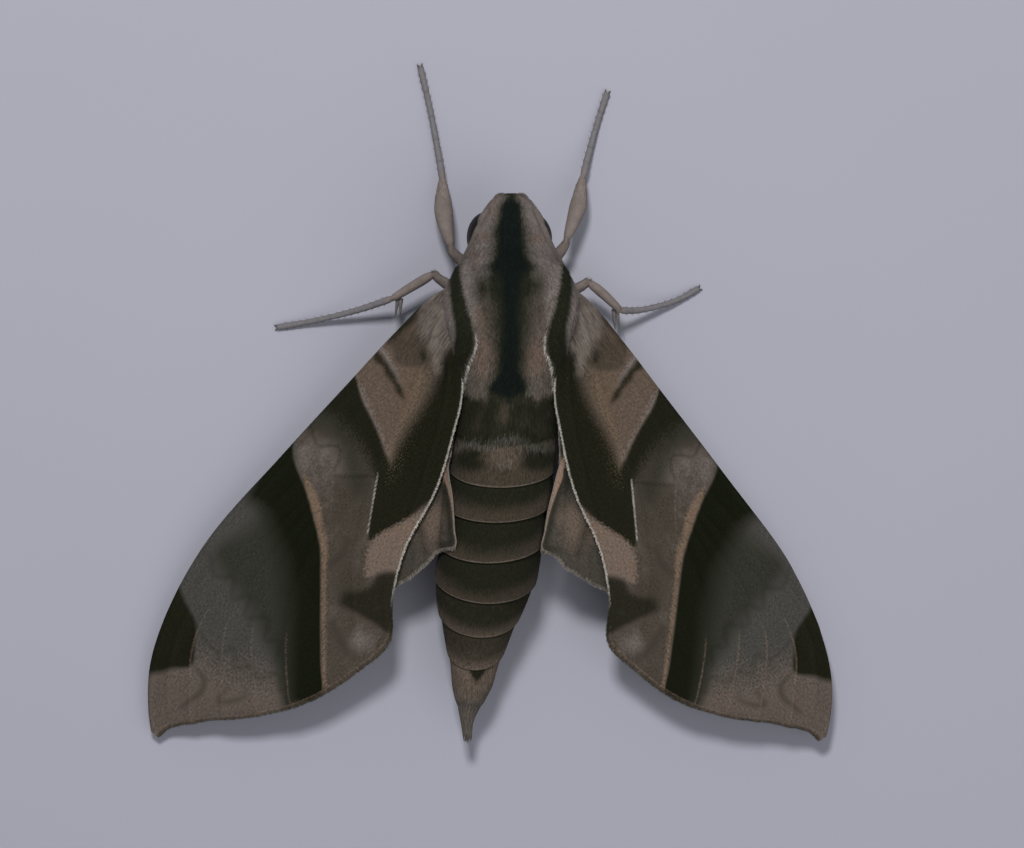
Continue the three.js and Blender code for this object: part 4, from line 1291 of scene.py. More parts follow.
@dataclass
class Wing:
    """The measures that fore- and hindwing share, along and across the forewing's axis."""

    plan_reach: float = 57.84
    tip_from: float = 30.0
    camber: float = 0.9
    costa: Rows = (
        (-2.2, 2.3), (0, 3.4), (6, 4.6), (12, 5.4), (24, 6.9), (37, 8.15), (46, 7.1), (52, 5.1), (56, 2.4), (57.6, 0.9),
    )
    hind: Rows = (
        (0, -1), (3.3, 2.1), (6.1, 4.8), (11.6, 7.3), (17, 9.1), (24.5, 10.2), (29.8, 12.3), (33.6, 14.6), (38, 13.8),
        (44.1, 11.4), (48.6, 8), (53.3, 2.9), (56, 0.45), (57.6, 0),
    )
    costa_height: Rows = ((0, 8.5), (6, 6.7), (12, 5.2), (22, 3.7), (36, 2.7), (50, 1.8), (57.6, 1.25))
    hind_height: Rows = (
        (0, 12.2), (4, 13.1), (8, 12.7), (17, 10.9), (26, 9.3), (34, 7.5), (44, 5.9), (52, 3.7), (57.6, 1.3),
    )

    def plan(self, pose: WingPose, along: Array, across: Array) -> Array:
        """Floor position of points along and across the wing."""
        a = math.radians(pose.angle)
        axis, over = np.array([-math.sin(a), -math.cos(a)]), np.array([math.cos(a), -math.sin(a)])
        tip = (pose.reach - self.tip_from) / (self.plan_reach - self.tip_from)
        run = np.where(along <= self.tip_from, along, self.tip_from + (along - self.tip_from) * tip)
        x = -pose.root[0] + axis[0] * run + over[0] * across
        y = pose.root[1] + axis[1] * run + over[1] * across
        return np.stack([-x * pose.side.value, y], -1)

    def height(self, pose: WingPose, along: Array, across: Array) -> Array:
        """Height of the forewing's middle surface, which may be asked past its edges."""
        front = -Profile(self.costa)(along) * pose.costa_depth
        back = Profile(self.hind)(along) * pose.hind_depth
        v = (across - front) / (back - front)
        bow = np.sin(np.pi * np.clip(v, 0, 1)) * np.minimum(1, (back - front) / 12)
        low = Profile(self.costa_height)(along) + pose.lift * ease(along, 20, 57)
        high = Profile(self.hind_height)(along) + pose.lift * ease(along, 40, 57)
        return low + (high - low) * np.minimum(v, 1.25) + self.camber * bow

    def spot(self, pose: WingPose, along: Array, across: Array) -> Array:
        """Place in space of points along and across the wing."""
        return np.concatenate([self.plan(pose, along, across), self.height(pose, along, across)[:, None]], 1)

    def heading(self, pose: WingPose, plan: Array, along: float, across: float) -> Array:
        """Unit direction on the wing for a step along and across it."""
        a, b = plan[:, 0], plan[:, 1]
        return unit(self.spot(pose, a + 0.05 * along, b + 0.05 * across) - self.spot(pose, a, b))


@dataclass
class Membrane:
    """A thin wing blade between two edges, with its relief."""

    wing: Wing
    pose: WingPose
    front: Callable[[Array], Array]
    back: Callable[[Array], Array]
    start: float
    end: float
    drop: float
    rows: int
    cols: int
    thickness: float = 0.30
    clears: Callable[[Array], Array] | None = None

    def grid(self) -> tuple[Array, Array]:
        """Plan coordinates of the blade's grid."""
        t = np.linspace(0, 1, self.rows)
        along = self.start + (self.end - self.start) * t
        v = 0.5 - 0.5 * np.cos(np.pi * np.linspace(0, 1, self.cols))
        v = 0.6 * v + 0.4 * np.linspace(0, 1, self.cols)
        a = np.repeat(along[:, None], self.cols, 1)
        front, back = self.front(a), self.back(a)
        return a, front + (back - front) * v

    def surface(self, relief: Callable[[Array], Array], marks: Callable[[Array], dict[str, Array]]) -> Surface:
        """The closed blade as one wrapped grid: over the top and back below.

        Args:
            relief: height of veins and folds at plan points (n, 2).
            marks: markings at plan points (n, 2).
        Returns:
            The surface, its UV map holding the upper side over the lower.
        """
        along, across = self.grid()
        rows, cols = along.shape
        flat = np.stack([along.ravel(), across.ravel()], 1)
        rise = relief(flat).reshape(rows, cols)
        place = self.wing.plan(self.pose, along, across)
        middle = self.wing.height(self.pose, along, across) - self.drop
        if self.clears is not None:
            over = self.clears(place)
            middle = (middle + over + np.sqrt((middle - over) ** 2 + 0.02)) / 2
        middle = np.concatenate([place, middle[..., None]], -1)
        normal = np.cross(np.gradient(middle, axis=0), np.gradient(middle, axis=1))
        normal *= np.sign(normal[..., 2:]) / np.maximum(np.linalg.norm(normal, axis=-1, keepdims=True), 1e-9)
        edge = np.minimum(1, 5.5 * np.minimum(np.linspace(0, 1, cols), np.linspace(1, 0, cols)) + 0.25)[None]
        half = self.thickness / 2 * edge

        def both(upper: Array, lower: Array) -> Array:
            return np.concatenate([upper, lower[:, ::-1]], 1)

        points = both(middle + normal * (half + rise)[..., None], middle - normal * (half - rise * 0.8)[..., None])
        plan = np.stack([along, across, np.zeros_like(along)], -1)
        fields = {key: value.reshape(rows, cols) for key, value in marks(flat).items()}
        carried = {key: both(value, value) for key, value in fields.items()}
        carried |= {"plan": both(plan, plan), "root": points,
                    "underside": both(np.zeros((rows, cols)), np.ones((rows, cols)))}
        u = np.linspace(0.01, 0.99, rows)[:, None].repeat(2 * cols + 1, 1)
        v = np.concatenate([np.linspace(0.51, 0.99, cols), np.linspace(0.49, 0.012, cols), [0.01]])
        uv = np.stack([u, np.repeat(v[None], rows, 0)], -1)
        uv[:, cols, 1] = 0.495
        return Surface(points, uv, wrap=True, marks=carried, flip=self.pose.side is Side.LEFT)


@dataclass
class Forewing:
    """Forewing with its bands, veins, fringe and the long hair at its root."""

    wing: Wing = field(default_factory=Wing)
    wedge: Patch = Patch((
        (3.2, -4.3, 0.6), (7.6, -5.2, 0.5), (12.4, -5.6, 0.3), (13.9, -3.2, 0.25), (15.3, -0.6, 0.25), (17, 2, 0.3),
        (17.9, 3.3, 0.4), (18.2, 3.9, 0.5), (15.3, 3, 0.9), (12.2, 2.5, 1.1), (8.8, 1.8, 1.1), (6, 0.4, 1),
        (4.4, -1.8, 1),
    ))
    wedge_edge: tuple[Stroke, ...] = (
        Stroke(((12.3, -5.6, 0.25), (14, -3, 0.35), (15.6, -0.1, 0.2), (17.2, 2.5, 0.1)), 0.5),
        Stroke(((8, -5, 0.1), (8.5, -3.9, 0.3), (9.1, -2.6, 0.25), (9.8, -1.1, 0.2), (10.2, -0.3, 0.1)), 0.35),
    )
    ochre: Patch = Patch((
        (8.9, -1.6, 0.5), (7.4, -0.4, 0.5), (6.9, 1.2, 0.5), (8.3, 2.4, 0.5), (10.2, 2.6, 0.5), (12, 2.6, 0.6),
        (14.6, 2.8, 0.7), (15.2, 2.4, 0.6), (13.2, 1.4, 0.5), (11.3, 0.4, 0.4),
    ))
    brown: tuple[Patch | Stroke, ...] = (
        Patch((
            (6.6, -4.2, 0.4), (5.4, -3.3, 0.5), (4.2, -2, 0.7), (5.3, 0, 0.5), (6.6, 0.5, 0.3), (8, -1.1, 0.3),
            (8.3, -2.6, 0.3),
        )),
        Patch((
            (22.6, -0.6, 0.5), (21.3, 1, 0.25), (20.1, 2.6, 0.25), (22.1, 4.1, 0.2), (24.2, 4.9, 0.4), (26.1, 4, 0.8),
            (26.9, 2.2, 0.9), (25, 0.8, 0.6),
        )),
        Patch(((30.2, 5.6, 0.6), (29.2, 6.5, 0.5), (29.8, 8.4, 0.5), (31.5, 9.6, 0.6), (33, 8, 0.8), (32, 6.2, 0.8))),
        Stroke((
            (27.1, 1.6, 0.25), (25.9, 2.9, 0.4), (25.4, 4.1, 0.35), (25.6, 5.4, 0.35), (27, 5, 0.3), (27.4, 3.4, 0.2),
        ), 0.5),
    )
    dark: Patch = Patch((
        (3, 2.2, 0.6), (6.1, 4.9, 0.4), (11.6, 7.4, 0.3), (17.2, 9.35, 0.3), (19.8, 8.9, 0.35), (21.9, 8.4, 0.35),
        (24.3, 7.2, 0.35), (26, 6.4, 0.3), (22.2, 4.35, 0.12), (19.7, 3.15, 0.12), (18.6, 3.7, 0.3), (17.4, 3.5, 0.5),
        (15.5, 3, 0.8), (13, 2.8, 0.9), (11, 2.8, 0.9), (8.6, 2.5, 0.9), (6.3, 2.1, 0.7), (4.4, 1.4, 0.6),
    ))
    band: Patch = Patch((
        (12.4, -5.7, 0.25), (14, -3.2, 0.25), (15.4, -0.5, 0.25), (17, 2.1, 0.3), (18.4, 4.1, 0.4), (21, 5.4, 0.6),
        (20.2, 3.3, 0.4), (19.2, 1.6, 1), (18.2, -1, 1.3), (17.5, -4, 1.3), (17.2, -6.8, 1),
    ))
    smoke: Patch = Patch((
        (16.5, -7, 1), (20.2, -7.4, 1), (19.9, -5.4, 0.8), (19.3, -3.4, 0.9), (20.6, -1.2, 0.9), (21.8, 0.6, 0.9),
        (22.6, 2.6, 0.9), (20.6, 2.6, 1), (18.5, 0, 1.2), (16.6, -3.5, 1.2),
    ))
    costal: tuple[Stroke, ...] = (
        Stroke((
            (8.9, -5.1, 0.2), (9.2, -4.3, 0.5), (9.4, -3.3, 0.3), (9.9, -2.2, 0.45), (10.3, -1.2, 0.25),
            (10.7, -0.5, 0.35), (11.1, 0.4, 0.1),
        ), 0.35),
        Stroke(((5.6, -0.7, 0.3), (6.2, -0.3, 0.3)), 0.4),
        Stroke(((2.4, -3.9, 0.4), (4.8, -4.2, 0.5), (6.8, -4.5, 0.3)), 0.5),
    )
    pink_patch: Patch = Patch((
        (16.8, 9.6, 0.3), (19.8, 9.2, 0.3), (22.2, 8.2, 0.35), (24.4, 7.1, 0.35), (26.3, 6.8, 0.4), (28, 7.5, 0.35),
        (29.3, 8.4, 0.35), (29, 9, 0.35), (28.2, 9.4, 0.4), (27.2, 10.6, 0.5), (25.8, 11.2, 0.5), (20.6, 10.6, 0.4),
    ))
    streak: Stroke = Stroke((
        (24.4, -3.4, 0.1), (25.2, -2.4, 0.38), (26.1, -1, 0.55), (27, 0.12, 0.48), (28.3, 1.5, 0.42),
        (29.4, 2.75, 0.35), (30.7, 3.8, 0.3), (33.2, 5.4, 0.24), (35.8, 7.3, 0.2), (39.3, 9.8, 0.18), (42, 11.9, 0.15),
    ), 0.32)
    big_dark: Patch = Patch((
        (21.6, -7.6, 0.3), (22.6, -6.5, 0.25), (23.6, -5.7, 0.22), (24.4, -4.7, 0.2), (25.1, -3.4, 0.2),
        (26.3, -1.6, 0.2), (27.5, -0.1, 0.2), (29.7, 2.4, 0.18), (32.7, 4.6, 0.15), (35.8, 6.8, 0.13),
        (39.7, 9.6, 0.13), (42.8, 12, 0.15), (44.9, 11.2, 0.8), (45.4, 9.6, 1.4), (43.2, 7.8, 1.6), (39.8, 5.2, 1.8),
        (36.2, 2.4, 2.2), (33.4, -0.2, 2.2), (31.6, -2.6, 1.8), (30.4, -4.6, 1.5), (29.6, -7.6, 1.2),
    ))
    dusky: Patch = Patch((
        (29, -4.8, 1.2), (33, -5.2, 1.2), (36.6, -6.6, 1), (38.2, -5.2, 1), (38.9, -2.5, 1.2), (39.8, 0, 1.2),
        (41, 2.2, 1.2), (42.4, 4.8, 1), (43.6, 6.6, 0.9), (45.6, 8.6, 0.8), (46.6, 10, 0.8), (42, 10.6, 1),
        (34, 5.4, 1), (28, -1, 1),
    ))
    apical: Patch = Patch((
        (42.8, -8.6, 0.4), (43.6, -6.2, 0.35), (44.8, -3.9, 0.3), (46.6, -2.5, 0.25), (48.8, -1.4, 0.25),
        (50.4, -2.9, 0.4), (51.8, -4, 0.5), (53, -5.8, 0.5), (48.8, -7.8, 0.5),
    ))
    tornal: Patch = Patch((
        (28.4, 9.5, 0.4), (27.2, 10.8, 0.4), (28.9, 11.9, 0.3), (30.8, 13.4, 0.3), (33.2, 15, 0.25), (33, 13.6, 0.3),
        (33, 11.8, 0.35), (33.3, 9.8, 0.4), (33.5, 7.9, 0.6), (32.1, 7.6, 0.7), (31, 8.9, 0.5), (29.8, 9.5, 0.4),
    ))
    line: Stroke = Stroke(((19.4, 2.95, 0.04), (19.8, 3.15, 0.06), (22.2, 4.3, 0.07), (25.5, 5.9, 0.05)), 0.1)
    basal: Stroke = Stroke(((-1, -2.4, 2.2), (2.2, -1.5, 1.8), (4.4, 0.4, 1.1), (6.2, 1.8, 0.5)), 0.7)
    gold: Stroke = Stroke(((6.9, 1.6, 0.3), (9, 2.2, 0.6), (12, 2.5, 0.8), (15.5, 3, 0.9), (18.6, 4.4, 0.6)), 0.9)
    waves: tuple[Stroke, ...] = (
        Stroke((
            (19.6, -6.3, 0.12), (20.4, -5.2, 0.16), (20.9, -4.5, 0.12), (20.8, -3.9, 0.1), (20.2, -3.2, 0.14),
            (19.7, -2.2, 0.1), (20.3, -1.6, 0.1), (21.1, -1.3, 0.15), (22.1, -1.2, 0.1),
        ), 0.2),
        Stroke(((22.6, -0.9, 0.12), (21.6, 0.6, 0.16), (20.1, 2.5, 0.14)), 0.25),
        Stroke(((27.6, 4.6, 0.15), (29, 4.9, 0.3), (30.6, 4.6, 0.2)), 0.6),
        Stroke(((35.8, 8.6, 0.2), (36.8, 10.2, 0.3), (37.2, 12, 0.3)), 0.8),
        Stroke(((48.9, -0.8, 0.1), (49.3, 0.6, 0.3), (50.6, 1.1, 0.3), (52, 0.7, 0.22), (53.3, 0.3, 0.12)), 0.35),
        Stroke(((48.4, 3.2, 0.1), (50.2, 3.3, 0.2), (49.2, 4.6, 0.2), (48, 5.4, 0.1)), 0.4),
    )
    lunules: tuple[Stroke, ...] = (
        Stroke((
            (37.8, -7, 0.1), (39.3, -5, 0.16), (38.3, -3.4, 0.14), (40.2, -2, 0.1), (38.8, -0.7, 0.18), (41, 0.3, 0.1),
            (39.5, 2.4, 0.18), (41.7, 3.5, 0.1), (40.9, 4.9, 0.16), (42.8, 5.9, 0.1),
        ), 0.45),
        Stroke((
            (44.6, -4.6, 0.04), (45.6, -2, 0.06), (45.9, 0.1, 0.08), (44.6, 1.3, 0.12), (46.2, 2.7, 0.08),
            (45, 4, 0.12), (45.6, 5.4, 0.1), (43.9, 6.8, 0.14), (45.2, 8.2, 0.12),
        ), 0.4),
    )
    veins: tuple[Rows, ...] = (
        ((1, -2.6), (12, -4.3), (24, -5.9), (38, -7.4)), ((1, -2.4), (10, -2.6), (22, -3.2), (34, -5.4), (46, -6.4)),
        ((22, -3.2), (34, -4.8), (44, -5.2), (50, -3.6), (54.6, -0.6)),
        ((24, -1.4), (34, -3), (42, -3.6), (47.3, -2.4), (52.5, 1), (54, 2.2)),
        ((24.5, -0.6), (33, -1.2), (40, -1.2), (44.4, -0.3), (50.1, 3.7), (51.6, 5)),
        ((25, 0.2), (32, 0.2), (37, 0.4), (40.6, 1.2), (46.8, 5.5), (48.8, 7.6)),
        ((25, 1.2), (31, 2), (36, 3.2), (40, 5.2), (44.6, 8.7), (45.8, 10)),
        ((24, 2.4), (30, 4.2), (36, 7.4), (41.8, 11.8)), ((1, -1.6), (10, 0.8), (20, 2.4), (25, 0.2)),
        ((22, -3.2), (24, -1.4), (25, 0.2), (24, 2.4), (20, 2.4)), ((19, 2.4), (28, 6), (33, 9.4), (37.6, 13.6)),
        ((1.4, -0.4), (8, 4), (18, 7.6), (28, 10.4), (33.4, 14)),
    )
    fork: Rows = ((22.1, -1.3), (24.8, 0.6), (27.7, 2.1))
    vein_steps: int = 30

    def membrane(self, pose: WingPose) -> Membrane:
        """The blade in its pose."""
        return Membrane(
            self.wing, pose,
            lambda a: -Profile(self.wing.costa)(a) * pose.costa_depth,
            lambda a: Profile(self.wing.hind)(a) * pose.hind_depth,
            start=-2.2, end=self.wing.plan_reach - 0.24, drop=0.0, rows=300, cols=104,
        )

    def relief(self, plan: Array) -> Array:
        """Veins stand up and the skin dips between them."""
        rise = np.zeros(len(plan))
        for path in self.veins:
            gap, _ = near_line(plan, spline(path, self.vein_steps))
            rise = np.maximum(rise, 0.10 * np.exp(-(gap / 0.26) ** 2) + 0.05 * np.exp(-(gap / 1.2) ** 2))
        front = -Profile(self.wing.costa)(plan[:, 0])
        rise += 0.16 * np.exp(-((plan[:, 1] - front - 0.35) / 0.45) ** 2)
        fold = 0.10 * np.sin(plan[:, 1] * 1.5 + plan[:, 0] * 0.10) * ease(plan[:, 0], 26, 40)
        return rise + fold * np.clip((plan[:, 1] - front) / 4, 0, 1)

    def marks(self, plan: Array, depth: float) -> dict[str, Array]:
        """Markings at plan points.

        Args:
            plan: rows of (along, across).
            depth: how deep the wing's hind part is in its pose.
        Returns:
            The fields of the markings.
        """
        along, across = plan.T
        from_edge = Profile(self.wing.hind)(along) * depth - across
        outer_half = (along - 33.0) / 1.0
        names = ("wedge", "dark", "ochre", "band", "pink_patch", "streak", "dusky", "smoke", "big_dark", "apical",
                 "tornal", "gold", "basal")
        groups = {"wedge_edge": self.wedge_edge, "brown": self.brown, "costal": self.costal, "lunule": self.lunules,
                  "wave": self.waves}
        marks = {name: getattr(self, name).field(plan) for name in names}
        marks |= {name: deepest(forms, plan) for name, forms in groups.items()}
        inner = np.min([(0.17 - from_edge) / 0.06, (29.0 - along) / 2.0, (along - 5.8) / 0.4], axis=0)
        lilac = np.maximum(2.5 - np.hypot(along - 22.3, (across + 3.0) * 0.8),
                           1.4 - np.hypot(along - 35.6, across - 12.6))
        marks |= {
            "fringe": held(np.minimum((0.24 - from_edge) / 0.08, outer_half)),
            "line": held(np.maximum(self.line.field(plan), inner)),
            "vein": held(self.vein_depth(plan, from_edge, outer_half)),
            "outer": held((along - 30.0 - 1.15 * across) / 1.5),
            "pinkish": held((along - 47.5 + 0.40 * across) / 3.0),
            "lilac": np.clip(lilac / 1.5, -1, 0.8),
        }
        return marks

    def vein_depth(self, plan: Array, from_edge: Array, outer_half: Array) -> Array:
        """Depth inside the pale veins, the cell's fork and the outer hind edge."""
        along, across = plan.T
        vein = np.full(len(plan), -FULL)
        for path in self.veins[3:8]:
            gap, _ = near_line(plan, spline(path, self.vein_steps))
            vein = np.maximum(vein, (0.08 - gap) / 0.10)
        vein = np.minimum(vein, (along - 42.0 + 0.35 * across) / 1.5)
        gap, _ = near_line(plan, spline(self.fork, 20))
        vein = np.maximum(vein, (0.05 - gap) / 0.10)
        return np.maximum(vein, np.minimum((0.07 - np.abs(from_edge - 0.34)) / 0.10, outer_half))

    def build(self, pose: WingPose, tree: CoatTree, material: Material) -> None:
        """Make the blade, its fringe and the long hair on its root."""
        word = pose.side.word
        surface = self.membrane(pose).surface(self.relief, lambda flat: self.marks(flat, pose.hind_depth))
        piece = dress(surface.build(f"forewing_{word}_blade"), material)
        mesh = piece.data
        plan = get_mark(mesh, "plan")
        hind = Profile(self.wing.hind)(plan[:, 0]) * pose.hind_depth
        from_edge = hind - plan[:, 1]
        fringe = ((from_edge < 0.3) & (plan[:, 0] > 3)).astype(float)
        near = ease(9.0 - plan[:, 0], 0.0, 7.0) * (from_edge > 0.6)
        ahead = self.wing.heading(pose, plan, 1.0, 0.12)
        outward = self.wing.heading(pose, plan, 0.35, 1.0)
        set_mark(mesh, "lie", outward)
        set_mark(mesh, "lock", np.where(plan[:, 0] < 30, 0.55, 1.0))
        edge = Coat(f"coat_forewing_{word}_fringe", 0.34, 0.10, 0.085, 0.03, lift=0.0, stray=0.12, seed=21)
        hair = Coat(f"coat_forewing_{word}_root", 1.15, 0.12, 0.17, 0.035, lift=0.07, stray=0.16, seed=23)
        keep(edge.grow(piece, fringe, tree, material, outward), "forewing_scales")
        set_mark(mesh, "lock", 0.45 + 0.55 * near)
        keep(hair.grow(piece, near, tree, material, ahead), "forewing_scales")
        forget(mesh, "lie", "lock")
        keep(piece, "forewing_scales", [f"forewing_{word}"])


@dataclass
class Hindwing:
    """Hindwing, seen only along the abdomen's side and from below."""

    wing: Wing = field(default_factory=Wing)
    front: Rows = ((4.5, 0), (12, -0.6), (25, -0.2), (34, 1.6), (39, 3.9))
    root: Rows = ((4.5, 2), (9, 5.9), (12.5, 7.9))
    tip: Rows = ((28.2, 11.8), (34, 9.4), (39, 5.3))
    drop: float = 1.05
    scallop: float = 0.14
    clearance: float = 0.34
    corner: float = 21.2
    flecks: Stroke = Stroke(((21, 9.7, 0.1), (21.9, 10.6, 0.35), (22.6, 11.2, 0.2), (23.3, 12.2, 0.3)), 0.45)

    def edge(self, pose: WingPose, along: Array) -> Array:
        """The hind edge, with shallow scallops between the veins."""
        waves = -self.scallop * np.abs(np.sin(along * 1.05)) * ease(along, 23, 25)
        return Profile(self.root + pose.lobe + self.tip)(along) + waves

    def over_abdomen(self, place: Array) -> Array:
        """Height at which the lobe clears the abdomen's coat; low beside the abdomen."""
        form = Profile(Body.outline)(place[..., 1])
        aside = (place[..., 0] - form[..., 0]) / (form[..., 2] + self.clearance)
        rise = (form[..., 3] + self.clearance) * np.sqrt(np.clip(1 - aside ** 2, 0, 1))
        return np.where((np.abs(aside) < 1) & (place[..., 1] < -16.5), form[..., 1] + rise, 0.0)

    def relief(self, plan: Array) -> Array:
        """Veins fan out from the root."""
        angle = np.degrees(np.arctan2(plan[:, 1] + 0.5, plan[:, 0] - 2))
        gap = np.abs((angle + 3.0) % 7.0 - 3.5) * np.radians(1.0) * np.hypot(plan[:, 0], plan[:, 1])
        return 0.09 * np.exp(-(gap / 0.25) ** 2)

    def marks(self, pose: WingPose, plan: Array) -> dict[str, Array]:
        """Markings at plan points: the rosy inner strip, dark flecks and the pale rim."""
        along, across = plan.T
        gap = self.edge(pose, along) - across
        wide = Profile(pose.strip)(along)
        strip = np.min([(wide - gap) / 0.10, (self.corner - along) / 0.4, (along - 13.2) / 0.4], axis=0)
        dark = np.max([
            np.minimum(1.2 - np.abs(gap - wide - 0.45) / 0.35, (21.6 - along) / 0.8), (13.8 - along) / 0.5,
            self.flecks.field(plan), np.minimum((17.6 - along) / 1.2, (wide + 2.4 - gap) / 0.6) - 0.3,
        ], axis=0)
        edge = np.minimum((0.17 - gap) / 0.08, (along - 21.0) / 0.3)
        seam = np.minimum((0.10 - gap) / 0.06, (self.corner - along) / 0.5)
        pinkish = (2.3 - np.hypot(along - 20.6, (across - 10.9) * 1.5)) / 1.6
        return {"rosy": held(strip), "pinkish": held(pinkish), "shade": held(dark),
                "edge": held(np.maximum(edge, seam))}

    def build(self, pose: WingPose, tree: CoatTree, material: Material) -> None:
        """Make the blade and its fringe."""
        word = pose.side.word
        blade = Membrane(self.wing, pose, Profile(self.front), lambda a: self.edge(pose, a),
                         start=4.5, end=39.0, drop=self.drop, rows=260, cols=72, clears=self.over_abdomen)
        surface = blade.surface(self.relief, lambda flat: self.marks(pose, flat))
        piece = dress(surface.build(f"hindwing_{word}_blade"), material)
        mesh = piece.data
        plan = get_mark(mesh, "plan")
        gap = self.edge(pose, plan[:, 0]) - plan[:, 1]
        inner = (plan[:, 0] < self.corner) & (plan[:, 0] > 12.5) & (gap < 1.0)
        outward = self.wing.heading(pose, plan, 0.5, 1.0)
        spots = get_mark(mesh, "root")
        backward = np.stack([np.full(len(plan), -0.12), np.full(len(plan), -1.0), 0.10 * (spots[:, 1] + 18)], 1)
        lie = np.where((plan[:, 0] < self.corner)[:, None], backward, outward)
        set_mark(mesh, "lie", lie)
        set_mark(mesh, "lock", np.where(inner, 1.5, 0.8))
        fringe = Coat(f"coat_hindwing_{word}_fringe", 0.42, 0.10, 0.10, 0.03, lift=0.03, stray=0.15, seed=31)
        keep(fringe.grow(piece, (inner | (gap < 0.3)) * 1.0, tree, material, lie), "hindwing_scales")
        forget(mesh, "lie", "lock")
        keep(piece, "hindwing_scales", [f"hindwing_{word}"])


# ---------------- limbs


Track = tuple[tuple[float, float, float, float], ...]


@dataclass(frozen=True)
class LegPlan:
    """One leg: its tracks of (x, y, z, radius) points and its spurs (from, to)."""

    name: str
    femur: Track
    tibia: Track
    tarsus: Track
    spur: Rows = ()


LEGS = (
    LegPlan(
        "foreleg_left", ((-2.2, 3.4, 2.8, 0.7), (-4.6, 4, 3.2, 0.8), (-6.4, 5.3, 4.5, 0.6)),
        ((-6.6, 5.9, 4.7, 0.5), (-7.2, 8.3, 3.9, 0.92), (-7.5, 10.4, 3, 1.08), (-7.6, 13.2, 1.9, 0.55)),
        ((-7.6, 13.6, 1.75, 0.46), (-8.1, 16.6, 1, 0.42), (-9, 21.4, 0.5, 0.38), (-10.1, 26.2, 0.26, 0.42)),
    ),
    LegPlan(
        "foreleg_right", ((2.2, 3.4, 2.9, 0.7), (4.4, 4.4, 3.3, 0.8), (5.9, 6.1, 4.5, 0.6)),
        ((6.1, 6.7, 4.7, 0.5), (6.9, 8.9, 3.9, 0.85), (7.5, 10.9, 3, 1), (7.9, 13.5, 1.9, 0.5)),
        ((8, 13.9, 1.75, 0.46), (8.6, 16.3, 1, 0.42), (9.6, 19.9, 0.5, 0.38), (10.7, 23.3, 0.26, 0.42)),
    ),
    LegPlan(
        "midleg_left", ((-2.5, -1.2, 2.6, 0.75), (-5.4, 0.8, 3.2, 0.85), (-7.9, 2.4, 4.6, 0.6)),
        ((-8.5, 2.9, 4.9, 0.55), (-10.2, 2, 4.9, 0.62), (-12.7, 0.5, 4.3, 0.5)),
        ((-13.1, 0.3, 4.1, 0.46), (-17.2, -1, 2.2, 0.4), (-22, -2.1, 0.8, 0.36), (-26, -2.8, 0.25, 0.4)),
        ((-12.3, 0.3, 4), (-12.6, -1.9, 3)),
    ),
    LegPlan(
        "midleg_right", ((2.5, -1.2, 2.6, 0.75), (5.4, 0.4, 3.2, 0.85), (7.9, 1.7, 4.6, 0.6)),
        ((8.5, 2, 4.9, 0.55), (10, 0.9, 4.9, 0.62), (11.7, -0.7, 4.3, 0.5)),
        ((12, -1, 4.1, 0.46), (14.6, -0.9, 2.1, 0.4), (18.2, 0.1, 0.7, 0.36), (20.9, 1.5, 0.25, 0.4)),
        ((11.5, -0.9, 4), (11.8, -3.2, 3)),
    ),
    LegPlan(
        "hindleg_left", ((-2.5, -5.6, 2.7, 0.8), (-5.6, -6.8, 2.9, 0.9), (-8.4, -8.2, 3.9, 0.6)),
        ((-8.9, -8.9, 3.9, 0.55), (-10.2, -12.2, 3.4, 0.62), (-11.3, -15.6, 2.6, 0.5)),
        ((-11.45, -16.1, 2.45, 0.44), (-12.4, -19.4, 1.2, 0.4), (-13.5, -22.8, 0.5, 0.36), (-14.3, -25.6, 0.25, 0.4)),
        ((-11.1, -15.3, 2.3), (-10.5, -18, 1.6)),
    ),
    LegPlan(
        "hindleg_right", ((2.5, -5.6, 2.7, 0.8), (5.6, -6.8, 2.9, 0.9), (8.2, -8.4, 3.9, 0.6)),
        ((8.6, -9.1, 3.9, 0.55), (9.7, -12.4, 3.4, 0.62), (10.6, -15.9, 2.6, 0.5)),
        ((10.75, -16.4, 2.45, 0.44), (11.6, -19.7, 1.2, 0.4), (12.5, -23, 0.5, 0.36), (13.2, -25.8, 0.25, 0.4)),
        ((10.4, -15.6, 2.3), (9.7, -18.2, 1.6)),
    ),
)


